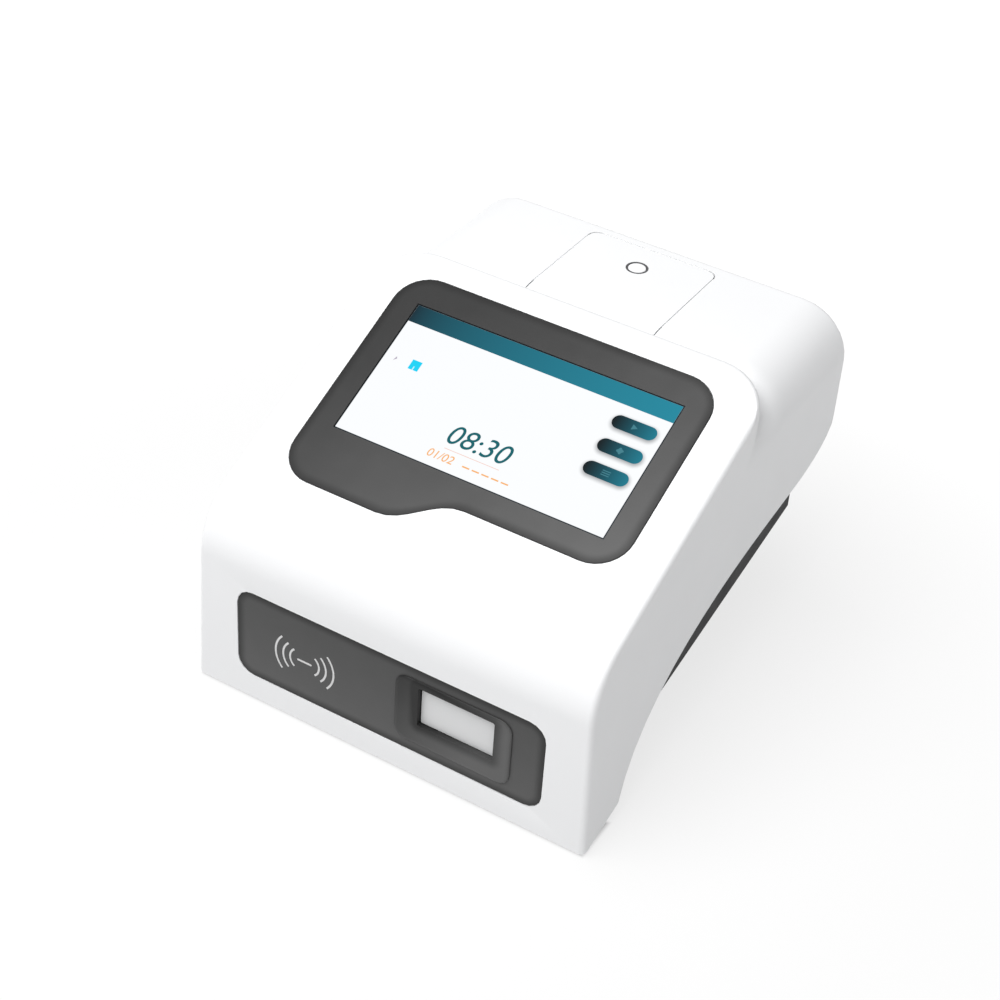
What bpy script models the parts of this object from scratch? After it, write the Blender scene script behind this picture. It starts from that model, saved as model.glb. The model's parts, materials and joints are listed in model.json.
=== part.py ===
"""Dry chemistry analyzer: a bench instrument with a sloping screen, a card drawer and a lidded printer.

Design frame: X to the right, Y to the back with the front face at Y = 0, Z up from the table.
Every solid hangs under one empty that moves the design frame to the centre of the outline.
All sizes are in metres.
"""

import math

import bmesh
import bpy
from mathutils import Matrix, Vector

# Driving sizes of the body
BODY_WIDTH = 0.2242
FOOT_SPREAD = 0.0034
BODY_DEPTH = 0.2590
TABLE_GAP = 0.0020
KNEE_HEIGHT = 0.1079
KNEE_RADIUS = 0.0380
SLOPE_ANGLE = math.radians(24.4)
SLOPE_LENGTH = 0.1873
SLOPE_CORNER = 0.0300
HOOD_HEIGHT = 0.1759
HOOD_SHOULDER = 0.0280
WALL = 0.0026
GAP = 0.0003
OVERCUT = 0.0100

# Fillets and small shapes of the cover
SIDE_FILLET = 0.0030
CREST_FILLET = 0.0040
REAR_FILLET = 0.0045
LEAST_FILLET = 0.0008
HOOD_START = 0.1200
HOOD_SINK = 0.0010
HOOD_DIP = 0.0030
HOOD_DIP_LENGTH = 0.0160

# Lower edge of the side arms
TOE_LENGTH = 0.0330
TOE_RISE = 0.0088
ARCH_END_INSET = 0.0332
ARCH_END_DROP = 0.0815
ARCH_LEAVE_ANGLE = math.radians(73.6)
ARCH_LEAVE_LENGTH = 0.0788
ARCH_ARRIVE_ANGLE = math.radians(14)
ARCH_ARRIVE_LENGTH = 0.0312
ARCH_HEEL_DROP = 0.0522
ARCH_HEEL_PULL = 0.0191

# Dark base tub under the arms
ARM_GAP = 0.0123
BASE_REAR_INSET = 0.0160
CHINE_START = 0.0092
CHINE_RISE = 0.05354735
BILGE_SHARE = 0.75
BASE_WALL = 0.0024
BASE_SHOULDER_FRONT = 0.0640
BASE_SHOULDER_DROP = 0.0619
BASE_LIP = 0.0100
BASE_SILL = 0.0130
BASE_SILL_POST = 0.0063

# Feet, screws and the bosses that take them
FOOT_RADIUS = 0.0060
FOOT_HEIGHT = 0.0030
FOOT_INSET_X = 0.0160
FOOT_INSET_FRONT = 0.0200
FOOT_INSET_REAR = 0.0160
SCREW_RADIUS = 0.0015
SCREW_HOLE_RADIUS = 0.0018
SCREW_HEAD_RADIUS = 0.0028
SCREW_HEAD_HEIGHT = 0.0014
SCREW_LENGTH = 0.0090
SCREW_DRIVE_RADIUS = 0.0010
SCREW_DRIVE_DEPTH = 0.0008
SCREW_DRIVE_SIDES = 6
BOSS_RADIUS = 0.0040
BOSS_SIDE_ROOM = 0.0018
BOSS_FROM_FRONT = 0.0120
BOSS_REAR_INSET_X = 0.0120
BOSS_REAR_LOW = 0.0860
BOSS_SCREW_Z = 0.0920

# Screen bezel and what lies behind it
SCREEN_WIDTH = 0.1540
SCREEN_HEIGHT = 0.0820
SCREEN_START = 0.0703
BEZEL_SIDE = 0.0141
BEZEL_TOP = 0.0171
BEZEL_BOTTOM = 0.0147
BEZEL_TAB_DROP = 0.0185
BEZEL_TAB_WIDTH = 0.0600
BEZEL_TAB_SWEEP = 0.0400
BEZEL_TAB_PULL = 0.0170
BEZEL_CORNER = 0.0190
BEZEL_THICKNESS = 0.0016
BEZEL_PROUD = 0.0003
GLASS_THICKNESS = 0.0011
GLASS_DROP = 0.0004
PANEL_MARGIN = 0.0050
PANEL_THICKNESS = 0.0035
BRACKET_MARGIN = 0.0040
BRACKET_SHEET = 0.0010
BRACKET_DEPTH = 0.0060
BRACKET_SLOT_LENGTH = 0.0300
BRACKET_SLOT_WIDTH = 0.0080
BRACKET_SLOTS = 3

# Front fascia with its card slot
FASCIA_WIDTH = 0.1790
FASCIA_LOW = 0.0172
FASCIA_HIGH = 0.0710
FASCIA_CORNER = 0.0095
FASCIA_THICKNESS = 0.0014
FASCIA_DROP = 0.0002
FASCIA_REBATE = 0.0030
SLOT_X = 0.0408
SLOT_Z = 0.0488
SLOT_WIDTH = 0.0428
SLOT_HEIGHT = 0.0242
SLOT_CORNER = 0.0010
SURROUND_LEFT = 0.0055
SURROUND_RIGHT = 0.0718
SURROUND_LOW = 0.0237
SURROUND_HIGH = 0.0645
SURROUND_CORNER = 0.0070
SURROUND_PROUD = 0.0012
SURROUND_SOFTNESS = 0.0024
SLEEVE_WALL = 0.0012
SLEEVE_LENGTH = 0.0100

# Card drawer and its drive
TRAY_TRAVEL = 0.0600
TRAY_RECESS = 0.0016
TRAY_FACE_THICKNESS = 0.0020
TRAY_LENGTH = 0.0960
TRAY_WIDTH = 0.0340
TRAY_THICKNESS = 0.0045
TRAY_DROP = 0.0030
POCKET_WIDTH = 0.0180
POCKET_LENGTH = 0.0700
POCKET_DEPTH = 0.0022
POCKET_FROM_FACE = 0.0100
RAIL_RADIUS = 0.0020
RAIL_SPREAD = 0.0240
RUN_GAP = 0.0004
RACK_MODULE = 0.0010
PINION_TEETH = 14
PINION_WIDTH = 0.0030
TOOTH_SLACK = 0.0003
TOOTH_ROOT_SHARE = 1.25
TOOTH_TIP_SHARE = 0.85
TOOTH_ROOT_WIDTH_SHARE = 2.25
TOOTH_TIP_WIDTH_SHARE = 0.90
TRAY_SHAFT_RADIUS = 0.0012
TRAY_SHAFT_DEPTH = 0.0040
TRAY_MOTOR_RADIUS = 0.0100
TRAY_MOTOR_HEIGHT = 0.0120
FRAME_SHEET = 0.0015
FRAME_ROOM = 0.0010
FRAME_RIGHT_ROOM = 0.0070
FRAME_START = 0.0130
FRAME_LENGTH = 0.1120
FRAME_TOP = 0.0600
FRAME_WINDOW_WIDTH = 0.0160
FRAME_WINDOW_LENGTH = 0.0300
FRAME_WINDOWS = 2
HEATER_START = 0.0420
HEATER_LENGTH = 0.0220
HEATER_WIDTH = 0.0300
HEATER_HEIGHT = 0.0070
HEATER_GROOVES = 4
HEATER_GROOVE_WIDTH = 0.0016
HEATER_GROOVE_DEPTH = 0.0015
OPTICS_START = 0.0660
OPTICS_LENGTH = 0.0360
OPTICS_WIDTH = 0.0440
OPTICS_HEIGHT = 0.0180
OPTICS_BARREL_RADIUS = 0.0070
OPTICS_BARREL_HEIGHT = 0.0070
OPTICS_BARREL_SPREAD = 0.0180
BRIDGE_SHEET = 0.0020
BRIDGE_LIFT = 0.0006

# Boards and speaker
BOARD_THICKNESS = 0.0016
BOARD_LIFT = 0.0060
BOARD_WIDTH = 0.1100
BOARD_LENGTH = 0.0750
CHIP_SIZE = 0.0160
CHIP_HEIGHT = 0.0020
CHIP_SPREAD = 0.0500
CHIPS = 3
POST_RADIUS = 0.0025
POST_INSET = 0.0060
READER_X = -0.0490
READER_Z = 0.0440
READER_WIDTH = 0.0500
READER_HEIGHT = 0.0380
READER_STANDOFF = 0.0040
READER_COIL_WALL = 0.0030
READER_COIL_HEIGHT = 0.0006
SPEAKER_X = -0.0450
SPEAKER_Y = 0.0700
SPEAKER_RADIUS = 0.0140
SPEAKER_HEIGHT = 0.0060
SPEAKER_CONE_RADIUS = 0.0110
SPEAKER_CONE_DEPTH = 0.0020
SPEAKER_SLOTS = 5
SPEAKER_SLOT_WIDTH = 0.0018
SPEAKER_SLOT_SPREAD = 0.0180

# Printer lid and its hinge
LID_WIDTH = 0.0745
LID_BACK_INSET = 0.0094
LID_FRONT_GAP = 0.0020
LID_SEAM = 0.0007
LID_LEDGE = 0.0003
LID_CORNER = 0.0050
LID_THICKNESS = 0.0022
LID_RIB_HEIGHT = 0.0020
LID_RIB_WIDTH = 0.0014
LID_RIB_SPREAD = 0.0360
LID_RIB_LEAD = 0.0039
HINGE_BACK = 0.0068
HINGE_DROP = 0.0036
HINGE_PIN_RADIUS = 0.0012
KNUCKLE_RADIUS = 0.0026
KNUCKLE_WIDTH = 0.0060
KNUCKLE_INSET = 0.00825
HINGE_BOSS_WIDTH = 0.0040
HINGE_BOSS_SIZE = 0.0060

# Round release button in the lid and the latch bar that it moves
BUTTON_BACK_INSET = 0.0290
BUTTON_RADIUS = 0.0048
BUTTON_TRAVEL = 0.0015
BUTTON_THICKNESS = 0.0018
RING_RADIUS = 0.0058
RING_WALL = 0.0007
RING_HEIGHT = 0.0022
RING_PROUD = 0.0002
STEM_HALF = 0.0020
LATCH_WIDTH = 0.0070
LATCH_THICKNESS = 0.0030
LATCH_DROP = 0.0016
LATCH_RIGHT = 0.0100
LATCH_REACH = 0.0012
LATCH_SLOT_SIDE = 0.0004
GUIDE_WALL = 0.0012
GUIDE_LIP = 0.0009
GUIDE_LEFT_START = -0.0260
GUIDE_LEFT_END = -0.0100
GUIDE_RIGHT_START = 0.0050
GUIDE_RIGHT_END = 0.0095

# Paper well, roll and printing parts
BAY_INNER_WIDTH = 0.0610
BAY_ROLL_ROOM = 0.0030
BAY_BACK_INSET = 0.028728950331
BAY_ROLL_SINK = 0.0075
BAY_WALL = 0.0016
BAY_REAR_DROP = 0.0125
BAY_FLANGE = 0.0100
BAY_FLANGE_SHEET = 0.0015
ROLL_RADIUS = 0.0200
ROLL_WIDTH = 0.0570
CORE_RADIUS = 0.0065
CORE_WALL = 0.0012
PLATEN_BACK_INSET = 0.0186
PLATEN_DROP = 0.0090
PLATEN_RADIUS = 0.0045
PLATEN_WIDTH = 0.0540
SHAFT_RADIUS = 0.0015
EAR_SHEET = 0.0020
EAR_HALF = 0.0040
PRINTER_MODULE = 0.0006
PLATEN_TEETH = 16
IDLER_TEETH = 24
MOTOR_TEETH = 10
GEAR_WIDTH = 0.0028
AXLE_RADIUS = 0.0012
IDLER_FORWARD = 0.0020
MOTOR_BACKWARD = 0.0065
PRINTER_MOTOR_RADIUS = 0.0070
PRINTER_MOTOR_LENGTH = 0.0180
CHASSIS_SHEET = 0.0014
CHASSIS_FRONT = 0.0062
CHASSIS_BACK = 0.0106
CHASSIS_DEPTH = 0.0383
CHASSIS_TOP_DROP = 0.0030
CHASSIS_WING = 0.0112
CHASSIS_WING_LENGTH = 0.0048
HEAD_THICKNESS = 0.0030
HEAD_HEIGHT = 0.0130
HEAD_LOW = 0.0090
TEAR_SHEET = 0.0008
TEAR_HEIGHT = 0.0070
TEAR_TEETH = 24
TEAR_BITE = 0.0008
TEAR_FROM_BACK = 0.0012

# Rear panel and its sockets
PANEL_WIDTH = 0.1040
PANEL_LOW = 0.0070
PANEL_HIGH = 0.0480
PANEL_SHEET = 0.0012
PANEL_CORNER = 0.0030
PANEL_REBATE = 0.0035
SOCKET_PROUD = 0.0003
SWITCH_X = 0.0360
SWITCH_Z = 0.0280
SWITCH_WIDTH = 0.0132
SWITCH_HEIGHT = 0.0196
SWITCH_DEPTH = 0.0110
SWITCH_WALL = 0.0012
SWITCH_RIM = 0.0014
SWITCH_TILT = math.radians(9)
ROCKER_ROOM = 0.0004
ROCKER_DISH = 0.0010
ROCKER_BACK = 0.0050
TRUNNION_RADIUS = 0.0012
JACK_X = 0.0160
JACK_WIDTH = 0.0090
JACK_HEIGHT = 0.0110
JACK_DEPTH = 0.0140
JACK_BORE = 0.0031
JACK_BORE_DEPTH = 0.0095
JACK_PIN = 0.0010
USB_X = -0.0060
USB_WIDTH = 0.0140
USB_HEIGHT = 0.0076
USB_DEPTH = 0.0140
USB_WALL = 0.0009
USB_TONGUE_WIDTH = 0.0110
USB_TONGUE_SHEET = 0.0018
LAN_X = -0.0320
LAN_WIDTH = 0.0160
LAN_HEIGHT = 0.0136
LAN_DEPTH = 0.0160
LAN_MOUTH_WIDTH = 0.0118
LAN_MOUTH_HEIGHT = 0.0080
LAN_MOUTH_DEPTH = 0.0120
LAN_KEY_WIDTH = 0.0064
LAN_KEY_HEIGHT = 0.0022
VENTS = 8
VENT_WIDTH = 0.0020
VENT_HEIGHT = 0.0120
VENT_PITCH = 0.0060
VENT_X = -0.0230
VENT_Z = 0.0370

# How finely curved pieces are cut
KNEE_STEPS = 10
CREST_STEPS = 4
CORNER_STEPS = 6
FILLET_STEPS = 4
SHOULDER_STEPS = 8
DIP_STEPS = 4
ARCH_STEPS = 16
HEEL_STEPS = 6
BASE_STEPS = 12
SMALL_STEPS = 4
ROUND_SIDES = 24
SMALL_ROUND_SIDES = 16

QUARTER = math.pi / 2
MERGE = 0.000001
SHARP_ANGLE = math.radians(30)

# Colours
WHITE = (0.86, 0.87, 0.88)
CHARCOAL = (0.09, 0.09, 0.095)
BLACK = (0.03, 0.03, 0.032)
STEEL = (0.60, 0.60, 0.62)
BOARD_GREEN = (0.03, 0.20, 0.09)
NYLON = (0.85, 0.84, 0.78)

# Places that several pieces share
HALF_WIDTH = BODY_WIDTH / 2
FOOT_WIDTH = BODY_WIDTH + 2 * FOOT_SPREAD
BASE_WIDTH = BODY_WIDTH - 2 * ARM_GAP
CREST_Y = SLOPE_LENGTH * math.cos(SLOPE_ANGLE)
BASE_FRONT = WALL + GAP
BASE_REAR = BODY_DEPTH - BASE_REAR_INSET
BASE_FLOOR = TABLE_GAP + BASE_WALL
BASE_SHOULDER_REAR = HOOD_HEIGHT - BASE_SHOULDER_DROP
ARCH_END_HEIGHT = HOOD_HEIGHT - ARCH_END_DROP
ARCH_HEEL_HEIGHT = HOOD_HEIGHT - ARCH_HEEL_DROP
SLEEVE_FRONT = FASCIA_DROP - GAP
TRAY_Z = SLOT_Z - TRAY_DROP
TRAY_LOW = TRAY_Z - TRAY_THICKNESS / 2
TRAY_HIGH = TRAY_Z + TRAY_THICKNESS / 2
TRAY_LEFT = SLOT_X - TRAY_WIDTH / 2
TRAY_RIGHT = SLOT_X + TRAY_WIDTH / 2
TRAY_BACK = TRAY_RECESS + TRAY_LENGTH
RACK_PITCH = math.pi * RACK_MODULE
RACK_ROOT = TRAY_LEFT - GAP
RACK_LINE = RACK_ROOT - TOOTH_ROOT_SHARE * RACK_MODULE
PINION_RADIUS = RACK_MODULE * PINION_TEETH / 2
PINION_X = RACK_LINE - PINION_RADIUS
PINION_Y = TRAY_BACK - TRAY_TRAVEL - 2 * RACK_PITCH
RAIL_Z = TRAY_LOW - RAIL_RADIUS / 2
FRAME_WEB_TOP = RAIL_Z - RAIL_RADIUS - GAP
FRAME_LEFT = PINION_X - TRAY_MOTOR_RADIUS - FRAME_ROOM - FRAME_SHEET
FRAME_RIGHT = TRAY_RIGHT + FRAME_RIGHT_ROOM + FRAME_SHEET
FRAME_BACK = FRAME_START + FRAME_LENGTH
LID_BACK = BODY_DEPTH - LID_BACK_INSET
LID_FRONT = CREST_Y + LID_FRONT_GAP
LID_UNDER = HOOD_HEIGHT - LID_THICKNESS
HINGE_Y = CREST_Y + HINGE_BACK
KNUCKLE_X = LID_WIDTH / 2 - KNUCKLE_INSET
HINGE_Z = HOOD_HEIGHT - HOOD_DIP - HINGE_DROP
BUTTON_Y = BODY_DEPTH - BUTTON_BACK_INSET
LATCH_TOP = LID_UNDER - LATCH_DROP
LATCH_LOW = LATCH_TOP - LATCH_THICKNESS
BAY_INNER_LENGTH = 2 * (ROLL_RADIUS + BAY_ROLL_ROOM)
BAY_BACK = BODY_DEPTH - BAY_BACK_INSET
BAY_FRONT = BAY_BACK - BAY_INNER_LENGTH - 2 * BAY_WALL
BAY_LOW = HOOD_HEIGHT - BAY_ROLL_SINK - 2 * ROLL_RADIUS
BAY_TOP = HOOD_HEIGHT - WALL - GAP
BAY_SIDE = BAY_INNER_WIDTH / 2 + BAY_WALL
ROLL_Y = (BAY_FRONT + BAY_BACK) / 2
ROLL_Z = BAY_LOW + BAY_WALL + GAP + ROLL_RADIUS
PLATEN_Y = BODY_DEPTH - PLATEN_BACK_INSET
PLATEN_Z = HOOD_HEIGHT - PLATEN_DROP
PLATEN_PITCH = PRINTER_MODULE * PLATEN_TEETH / 2
IDLER_PITCH = PRINTER_MODULE * IDLER_TEETH / 2
MOTOR_PITCH = PRINTER_MODULE * MOTOR_TEETH / 2
IDLER_Y = PLATEN_Y - IDLER_FORWARD
IDLER_Z = PLATEN_Z - math.sqrt((PLATEN_PITCH + IDLER_PITCH) ** 2 - IDLER_FORWARD ** 2)
MOTOR_Y = IDLER_Y + MOTOR_BACKWARD
MOTOR_Z = IDLER_Z - math.sqrt((IDLER_PITCH + MOTOR_PITCH) ** 2 - MOTOR_BACKWARD ** 2)
EAR_IN = PLATEN_WIDTH / 2 + GAP
CHASSIS_IN = EAR_IN + EAR_SHEET + GAP
CHASSIS_OUT = CHASSIS_IN + CHASSIS_SHEET
GEAR_IN = CHASSIS_OUT + GAP
BOARD_LOW = BASE_FLOOR + BOARD_LIFT
BOARD_TOP = BOARD_LOW + BOARD_THICKNESS
BOARD_BACK = BASE_REAR - BASE_WALL - 2 * GAP
SOCKET_LOW = BOARD_TOP + GAP
PANEL_FRONT = BASE_REAR + GAP
PANEL_BACK = PANEL_FRONT + PANEL_SHEET
SOCKET_FACE = PANEL_BACK + SOCKET_PROUD


def new_object(name, bm, colour, roughness=0.5, metallic=0.0):
    """Makes a named object with its own material from a bmesh, with smooth round faces."""
    bmesh.ops.remove_doubles(bm, verts=bm.verts, dist=MERGE)
    bmesh.ops.recalc_face_normals(bm, faces=bm.faces)
    mesh = bpy.data.meshes.new(name)
    bm.to_mesh(mesh)
    bm.free()
    obj = bpy.data.objects.new(name, mesh)
    bpy.context.collection.objects.link(obj)
    material = bpy.data.materials.new(name)
    material.use_nodes = True
    shader = material.node_tree.nodes["Principled BSDF"]
    shader.inputs["Base Color"].default_value = (*colour, 1)
    shader.inputs["Roughness"].default_value = roughness
    shader.inputs["Metallic"].default_value = metallic
    mesh.materials.append(material)
    smooth(mesh)
    return obj


def smooth(mesh):
    mesh.shade_smooth()
    mesh.set_sharp_from_angle(angle=SHARP_ANGLE)


def loft(rings):
    """Joins closed rings of equal length into one capped body."""
    bm = bmesh.new()
    layers = [[bm.verts.new(point) for point in ring] for ring in rings]
    for lower, upper in zip(layers, layers[1:]):
        for i in range(len(lower)):
            j = (i + 1) % len(lower)
            bm.faces.new((lower[i], lower[j], upper[j], upper[i]))
    bm.faces.new(layers[0])
    bm.faces.new(layers[-1])
    return bm


def prism(outline, axis, low, high):
    """Extrudes a closed outline along an axis; the outline gives the other two axes in order."""
    def place(point, along):
        a, b = point
        return {"X": (along, a, b), "Y": (a, along, b), "Z": (a, b, along)}[axis]
    return loft([[place(p, low) for p in outline], [place(p, high) for p in outline]])


def box(low, high):
    """A plain block between two corners."""
    outline = [(low[0], low[1]), (high[0], low[1]), (high[0], high[1]), (low[0], high[1])]
    return prism(outline, "Z", low[2], high[2])


def mirrored_box(sign, low, high):
    """A block on the right side, or its mirror image on the left."""
    xs = sorted((sign * low[0], sign * high[0]))
    return box((xs[0], *low[1:]), (xs[1], *high[1:]))


def arc(centre, radius, start, end, steps):
    """Points on an arc, both ends included."""
    angles = [start + (end - start) * i / steps for i in range(steps + 1)]
    return [(centre[0] + radius * math.cos(a), centre[1] + radius * math.sin(a)) for a in angles]


def cylinder(axis, centre, radius, low, high, sides=ROUND_SIDES):
    """A round bar along one axis."""
    return prism(arc(centre, radius, 0, 4 * QUARTER, sides)[:-1], axis, low, high)


def bezier(p0, p1, p2, p3, steps):
    """Points on a cubic curve, both ends included."""
    points = []
    for i in range(steps + 1):
        t = i / steps
        u = 1 - t
        weights = (u ** 3, 3 * u * u * t, 3 * u * t * t, t ** 3)
        points.append(tuple(sum(w * p[k] for w, p in zip(weights, (p0, p1, p2, p3))) for k in (0, 1)))
    return points


def rounded_rect(x0, y0, x1, y1, radius, steps=SMALL_STEPS):
    """Outline of a rectangle with round corners."""
    corners = (((x1 - radius, y0 + radius), -QUARTER), ((x1 - radius, y1 - radius), 0),
               ((x0 + radius, y1 - radius), QUARTER), ((x0 + radius, y0 + radius), 2 * QUARTER))
    return [p for centre, start in corners for p in arc(centre, radius, start, start + QUARTER, steps)]


def combine(obj, bm, operation):
    """Runs one exact Boolean with a bmesh and keeps the result as the object's mesh."""
    bmesh.ops.remove_doubles(bm, verts=bm.verts, dist=MERGE)
    bmesh.ops.recalc_face_normals(bm, faces=bm.faces)
    mesh = bpy.data.meshes.new("tool")
    bm.to_mesh(mesh)
    bm.free()
    tool = bpy.data.objects.new("tool", mesh)
    bpy.context.collection.objects.link(tool)
    modifier = obj.modifiers.new("tool", "BOOLEAN")
    modifier.operation = operation
    modifier.solver = "EXACT"
    modifier.object = tool
    depsgraph = bpy.context.evaluated_depsgraph_get()
    result = bpy.data.meshes.new_from_object(obj.evaluated_get(depsgraph))
    obj.modifiers.clear()
    old = obj.data
    obj.data = result
    bpy.data.meshes.remove(old)
    bpy.data.objects.remove(tool)
    bpy.data.meshes.remove(mesh)
    smooth(obj.data)


def cut(obj, *tools):
    for bm in tools:
        combine(obj, bm, "DIFFERENCE")


def join(obj, *tools):
    for bm in tools:
        combine(obj, bm, "UNION")


def copy_of(obj):
    bm = bmesh.new()
    bm.from_mesh(obj.data)
    return bm


def set_origin(obj, point):
    """Moves an object's origin to its joint axis and leaves its shape in place."""
    offset = Vector(point)
    obj.data.transform(Matrix.Translation(-offset))
    obj.location = offset


def on_slope(bm):
    """Lays a shape drawn as (across, up the slope, out of the slope) on the slope."""
    matrix = Matrix.Translation((0, 0, KNEE_HEIGHT)) @ Matrix.Rotation(SLOPE_ANGLE, 4, "X")
    bmesh.ops.transform(bm, matrix=matrix, verts=bm.verts)
    return bm


def slope_height(y, inset=0.0):
    return KNEE_HEIGHT + y * math.tan(SLOPE_ANGLE) - inset / math.cos(SLOPE_ANGLE)


def gear_outline(teeth, module, centre, turned):
    """Outline of a spur gear with straight-sided teeth, thinned by the slack."""
    pitch = teeth * module / 2
    root = pitch - module * TOOTH_ROOT_SHARE
    tip = pitch + module * TOOTH_TIP_SHARE
    half_root, half_tip = tooth_halves(module)
    points = []
    for i in range(teeth):
        middle = turned + 4 * QUARTER * i / teeth
        for radius, offset in ((root, -half_root), (tip, -half_tip), (tip, half_tip), (root, half_root)):
            angle = middle + offset / radius
            points.append((centre[0] + radius * math.cos(angle), centre[1] + radius * math.sin(angle)))
    return points


def tooth_halves(module):
    """Half widths of a tooth at its root and at its tip."""
    root = (module * TOOTH_ROOT_WIDTH_SHARE - TOOTH_SLACK) / 2
    tip = (module * TOOTH_TIP_WIDTH_SHARE - TOOTH_SLACK / 2) / 2
    return root, tip


def meshing_turn(turned, pitch, direction, other_pitch, module):
    """How far the next gear is turned so that its teeth meet the gaps of the first."""
    half_step = QUARTER * module / other_pitch
    return direction + 2 * QUARTER - half_step + (direction - turned) * pitch / other_pitch


def crest_end(x, shell):
    """How far back the sloping shell reaches at a place across, with round corners in the slope."""
    radius = SLOPE_CORNER - shell
    beside = min(radius, max(0.0, abs(x) - (HALF_WIDTH - SLOPE_CORNER)))
    reach = math.sqrt(radius ** 2 - beside ** 2)
    return (SLOPE_LENGTH - SLOPE_CORNER + reach) * math.cos(SLOPE_ANGLE)


def knee_centre():
    return (KNEE_RADIUS, slope_height(KNEE_RADIUS, KNEE_RADIUS))


def front_ring(x, shell, inset, floor):
    """Side view of the sloping shell at one place across, shrunk by its shell and edge inset."""
    total = shell + inset
    normal = QUARTER + SLOPE_ANGLE
    end = crest_end(x, shell) - inset
    round_off = max(CREST_FILLET - shell, LEAST_FILLET)
    crest = (end - round_off, slope_height(end - round_off, total + round_off))
    points = [(total, floor)]
    points += arc(knee_centre(), KNEE_RADIUS - total, 2 * QUARTER, normal, KNEE_STEPS)
    points += arc(crest, round_off, normal, 0, CREST_STEPS)
    points.append((end, floor))
    return [(x, y, z) for y, z in points]


def fillet_layers(outer, radius):
    """Places from the start of an edge fillet to its outer face, each with its inset."""
    layers = []
    for i in range(1, FILLET_STEPS + 1):
        angle = QUARTER * i / FILLET_STEPS
        layers.append((outer - radius + radius * math.sin(angle), radius * (1 - math.cos(angle))))
    return layers


def front_solid(shell, floor):
    """The front face, knee and slope as one body across the whole width."""
    half = HALF_WIDTH - shell
    fillet = max(SIDE_FILLET - shell, LEAST_FILLET)
    radius = SLOPE_CORNER - shell
    start = half - radius
    sweep = math.asin((radius - fillet) / radius)
    right = [(start + radius * math.sin(sweep * i / CORNER_STEPS), 0.0) for i in range(CORNER_STEPS + 1)]
    right += fillet_layers(half, fillet)
    layers = [(-x, inset) for x, inset in reversed(right)] + right
    return loft([front_ring(x, shell, inset, floor) for x, inset in layers])


def hood_dip(y):
    """How far the hood's top lies under its flat height near the slope's crest."""
    share = (CREST_Y + HOOD_DIP_LENGTH - y) / HOOD_DIP_LENGTH
    return HOOD_DIP * min(1.0, max(0.0, share)) ** 2


def dip_stations():
    return [CREST_Y + HOOD_DIP_LENGTH * i / DIP_STEPS for i in range(DIP_STEPS + 1)]


def hood_ring(y, shell, inset, floor):
    """Front view of the hood at one place along, with its big round shoulders."""
    total = shell + inset
    radius = HOOD_SHOULDER - total
    side = HALF_WIDTH - HOOD_SHOULDER
    top = HOOD_HEIGHT - HOOD_SHOULDER - hood_dip(y)
    points = [(HALF_WIDTH - total, floor)]
    points += arc((side, top), radius, 0, QUARTER, SHOULDER_STEPS)
    points += arc((-side, top), radius, QUARTER, 2 * QUARTER, SHOULDER_STEPS)
    points.append((-HALF_WIDTH + total, floor))
    return [(x, y, z) for x, z in points]


def hood_solid(shell, floor):
    """The hood as one body, with a filleted rear rim and its front end under the slope."""
    rear = BODY_DEPTH - shell
    fillet = max(REAR_FILLET - shell, LEAST_FILLET)
    stations = [(HOOD_START, 0.0)] + [(y, 0.0) for y in dip_stations()]
    stations.append((rear - fillet, 0.0))
    stations += fillet_layers(rear, fillet)
    return loft([hood_ring(y, shell, inset, floor) for y, inset in stations])


def above_slope(sink):
    """Everything above the slope's plane, lowered by a little."""
    low = (-FOOT_WIDTH, -BODY_DEPTH, -sink)
    return on_slope(box(low, (FOOT_WIDTH, 2 * BODY_DEPTH, BODY_DEPTH)))


def beyond(point, angle, distance):
    """The place at a distance from a point, in a direction."""
    return (point[0] + distance * math.cos(angle), point[1] + distance * math.sin(angle))


def arch_edge():
    """Lower edge of the side arms from the front toe to the rear heel, as (y, z)."""
    start = (TOE_LENGTH, TABLE_GAP + TOE_RISE)
    end = (BODY_DEPTH - ARCH_END_INSET, ARCH_END_HEIGHT)
    leave = beyond(start, ARCH_LEAVE_ANGLE, ARCH_LEAVE_LENGTH)
    arrive = beyond(end, ARCH_ARRIVE_ANGLE, -ARCH_ARRIVE_LENGTH)
    heel = (BODY_DEPTH, ARCH_HEEL_HEIGHT)
    points = bezier(start, leave, arrive, end, ARCH_STEPS)
    past = beyond(end, ARCH_ARRIVE_ANGLE, ARCH_HEEL_PULL)
    points += bezier(end, past, beyond(heel, -QUARTER, ARCH_HEEL_PULL), heel, HEEL_STEPS)[1:]
    return points


def flare(obj):
    """Widens the cover evenly below the knee, down to the feet of the arms."""
    bm = copy_of(obj)
    bmesh.ops.bisect_plane(bm, geom=bm.verts[:] + bm.edges[:] + bm.faces[:], dist=MERGE,
                           plane_co=(0, 0, KNEE_HEIGHT), plane_no=(0, 0, 1))
    bm.to_mesh(obj.data)
    bm.free()
    widening = FOOT_WIDTH / BODY_WIDTH - 1
    for vertex in obj.data.vertices:
        share = (KNEE_HEIGHT - vertex.co.z) / (KNEE_HEIGHT - TABLE_GAP)
        vertex.co.x *= 1 + widening * min(1.0, max(0.0, share))


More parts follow.
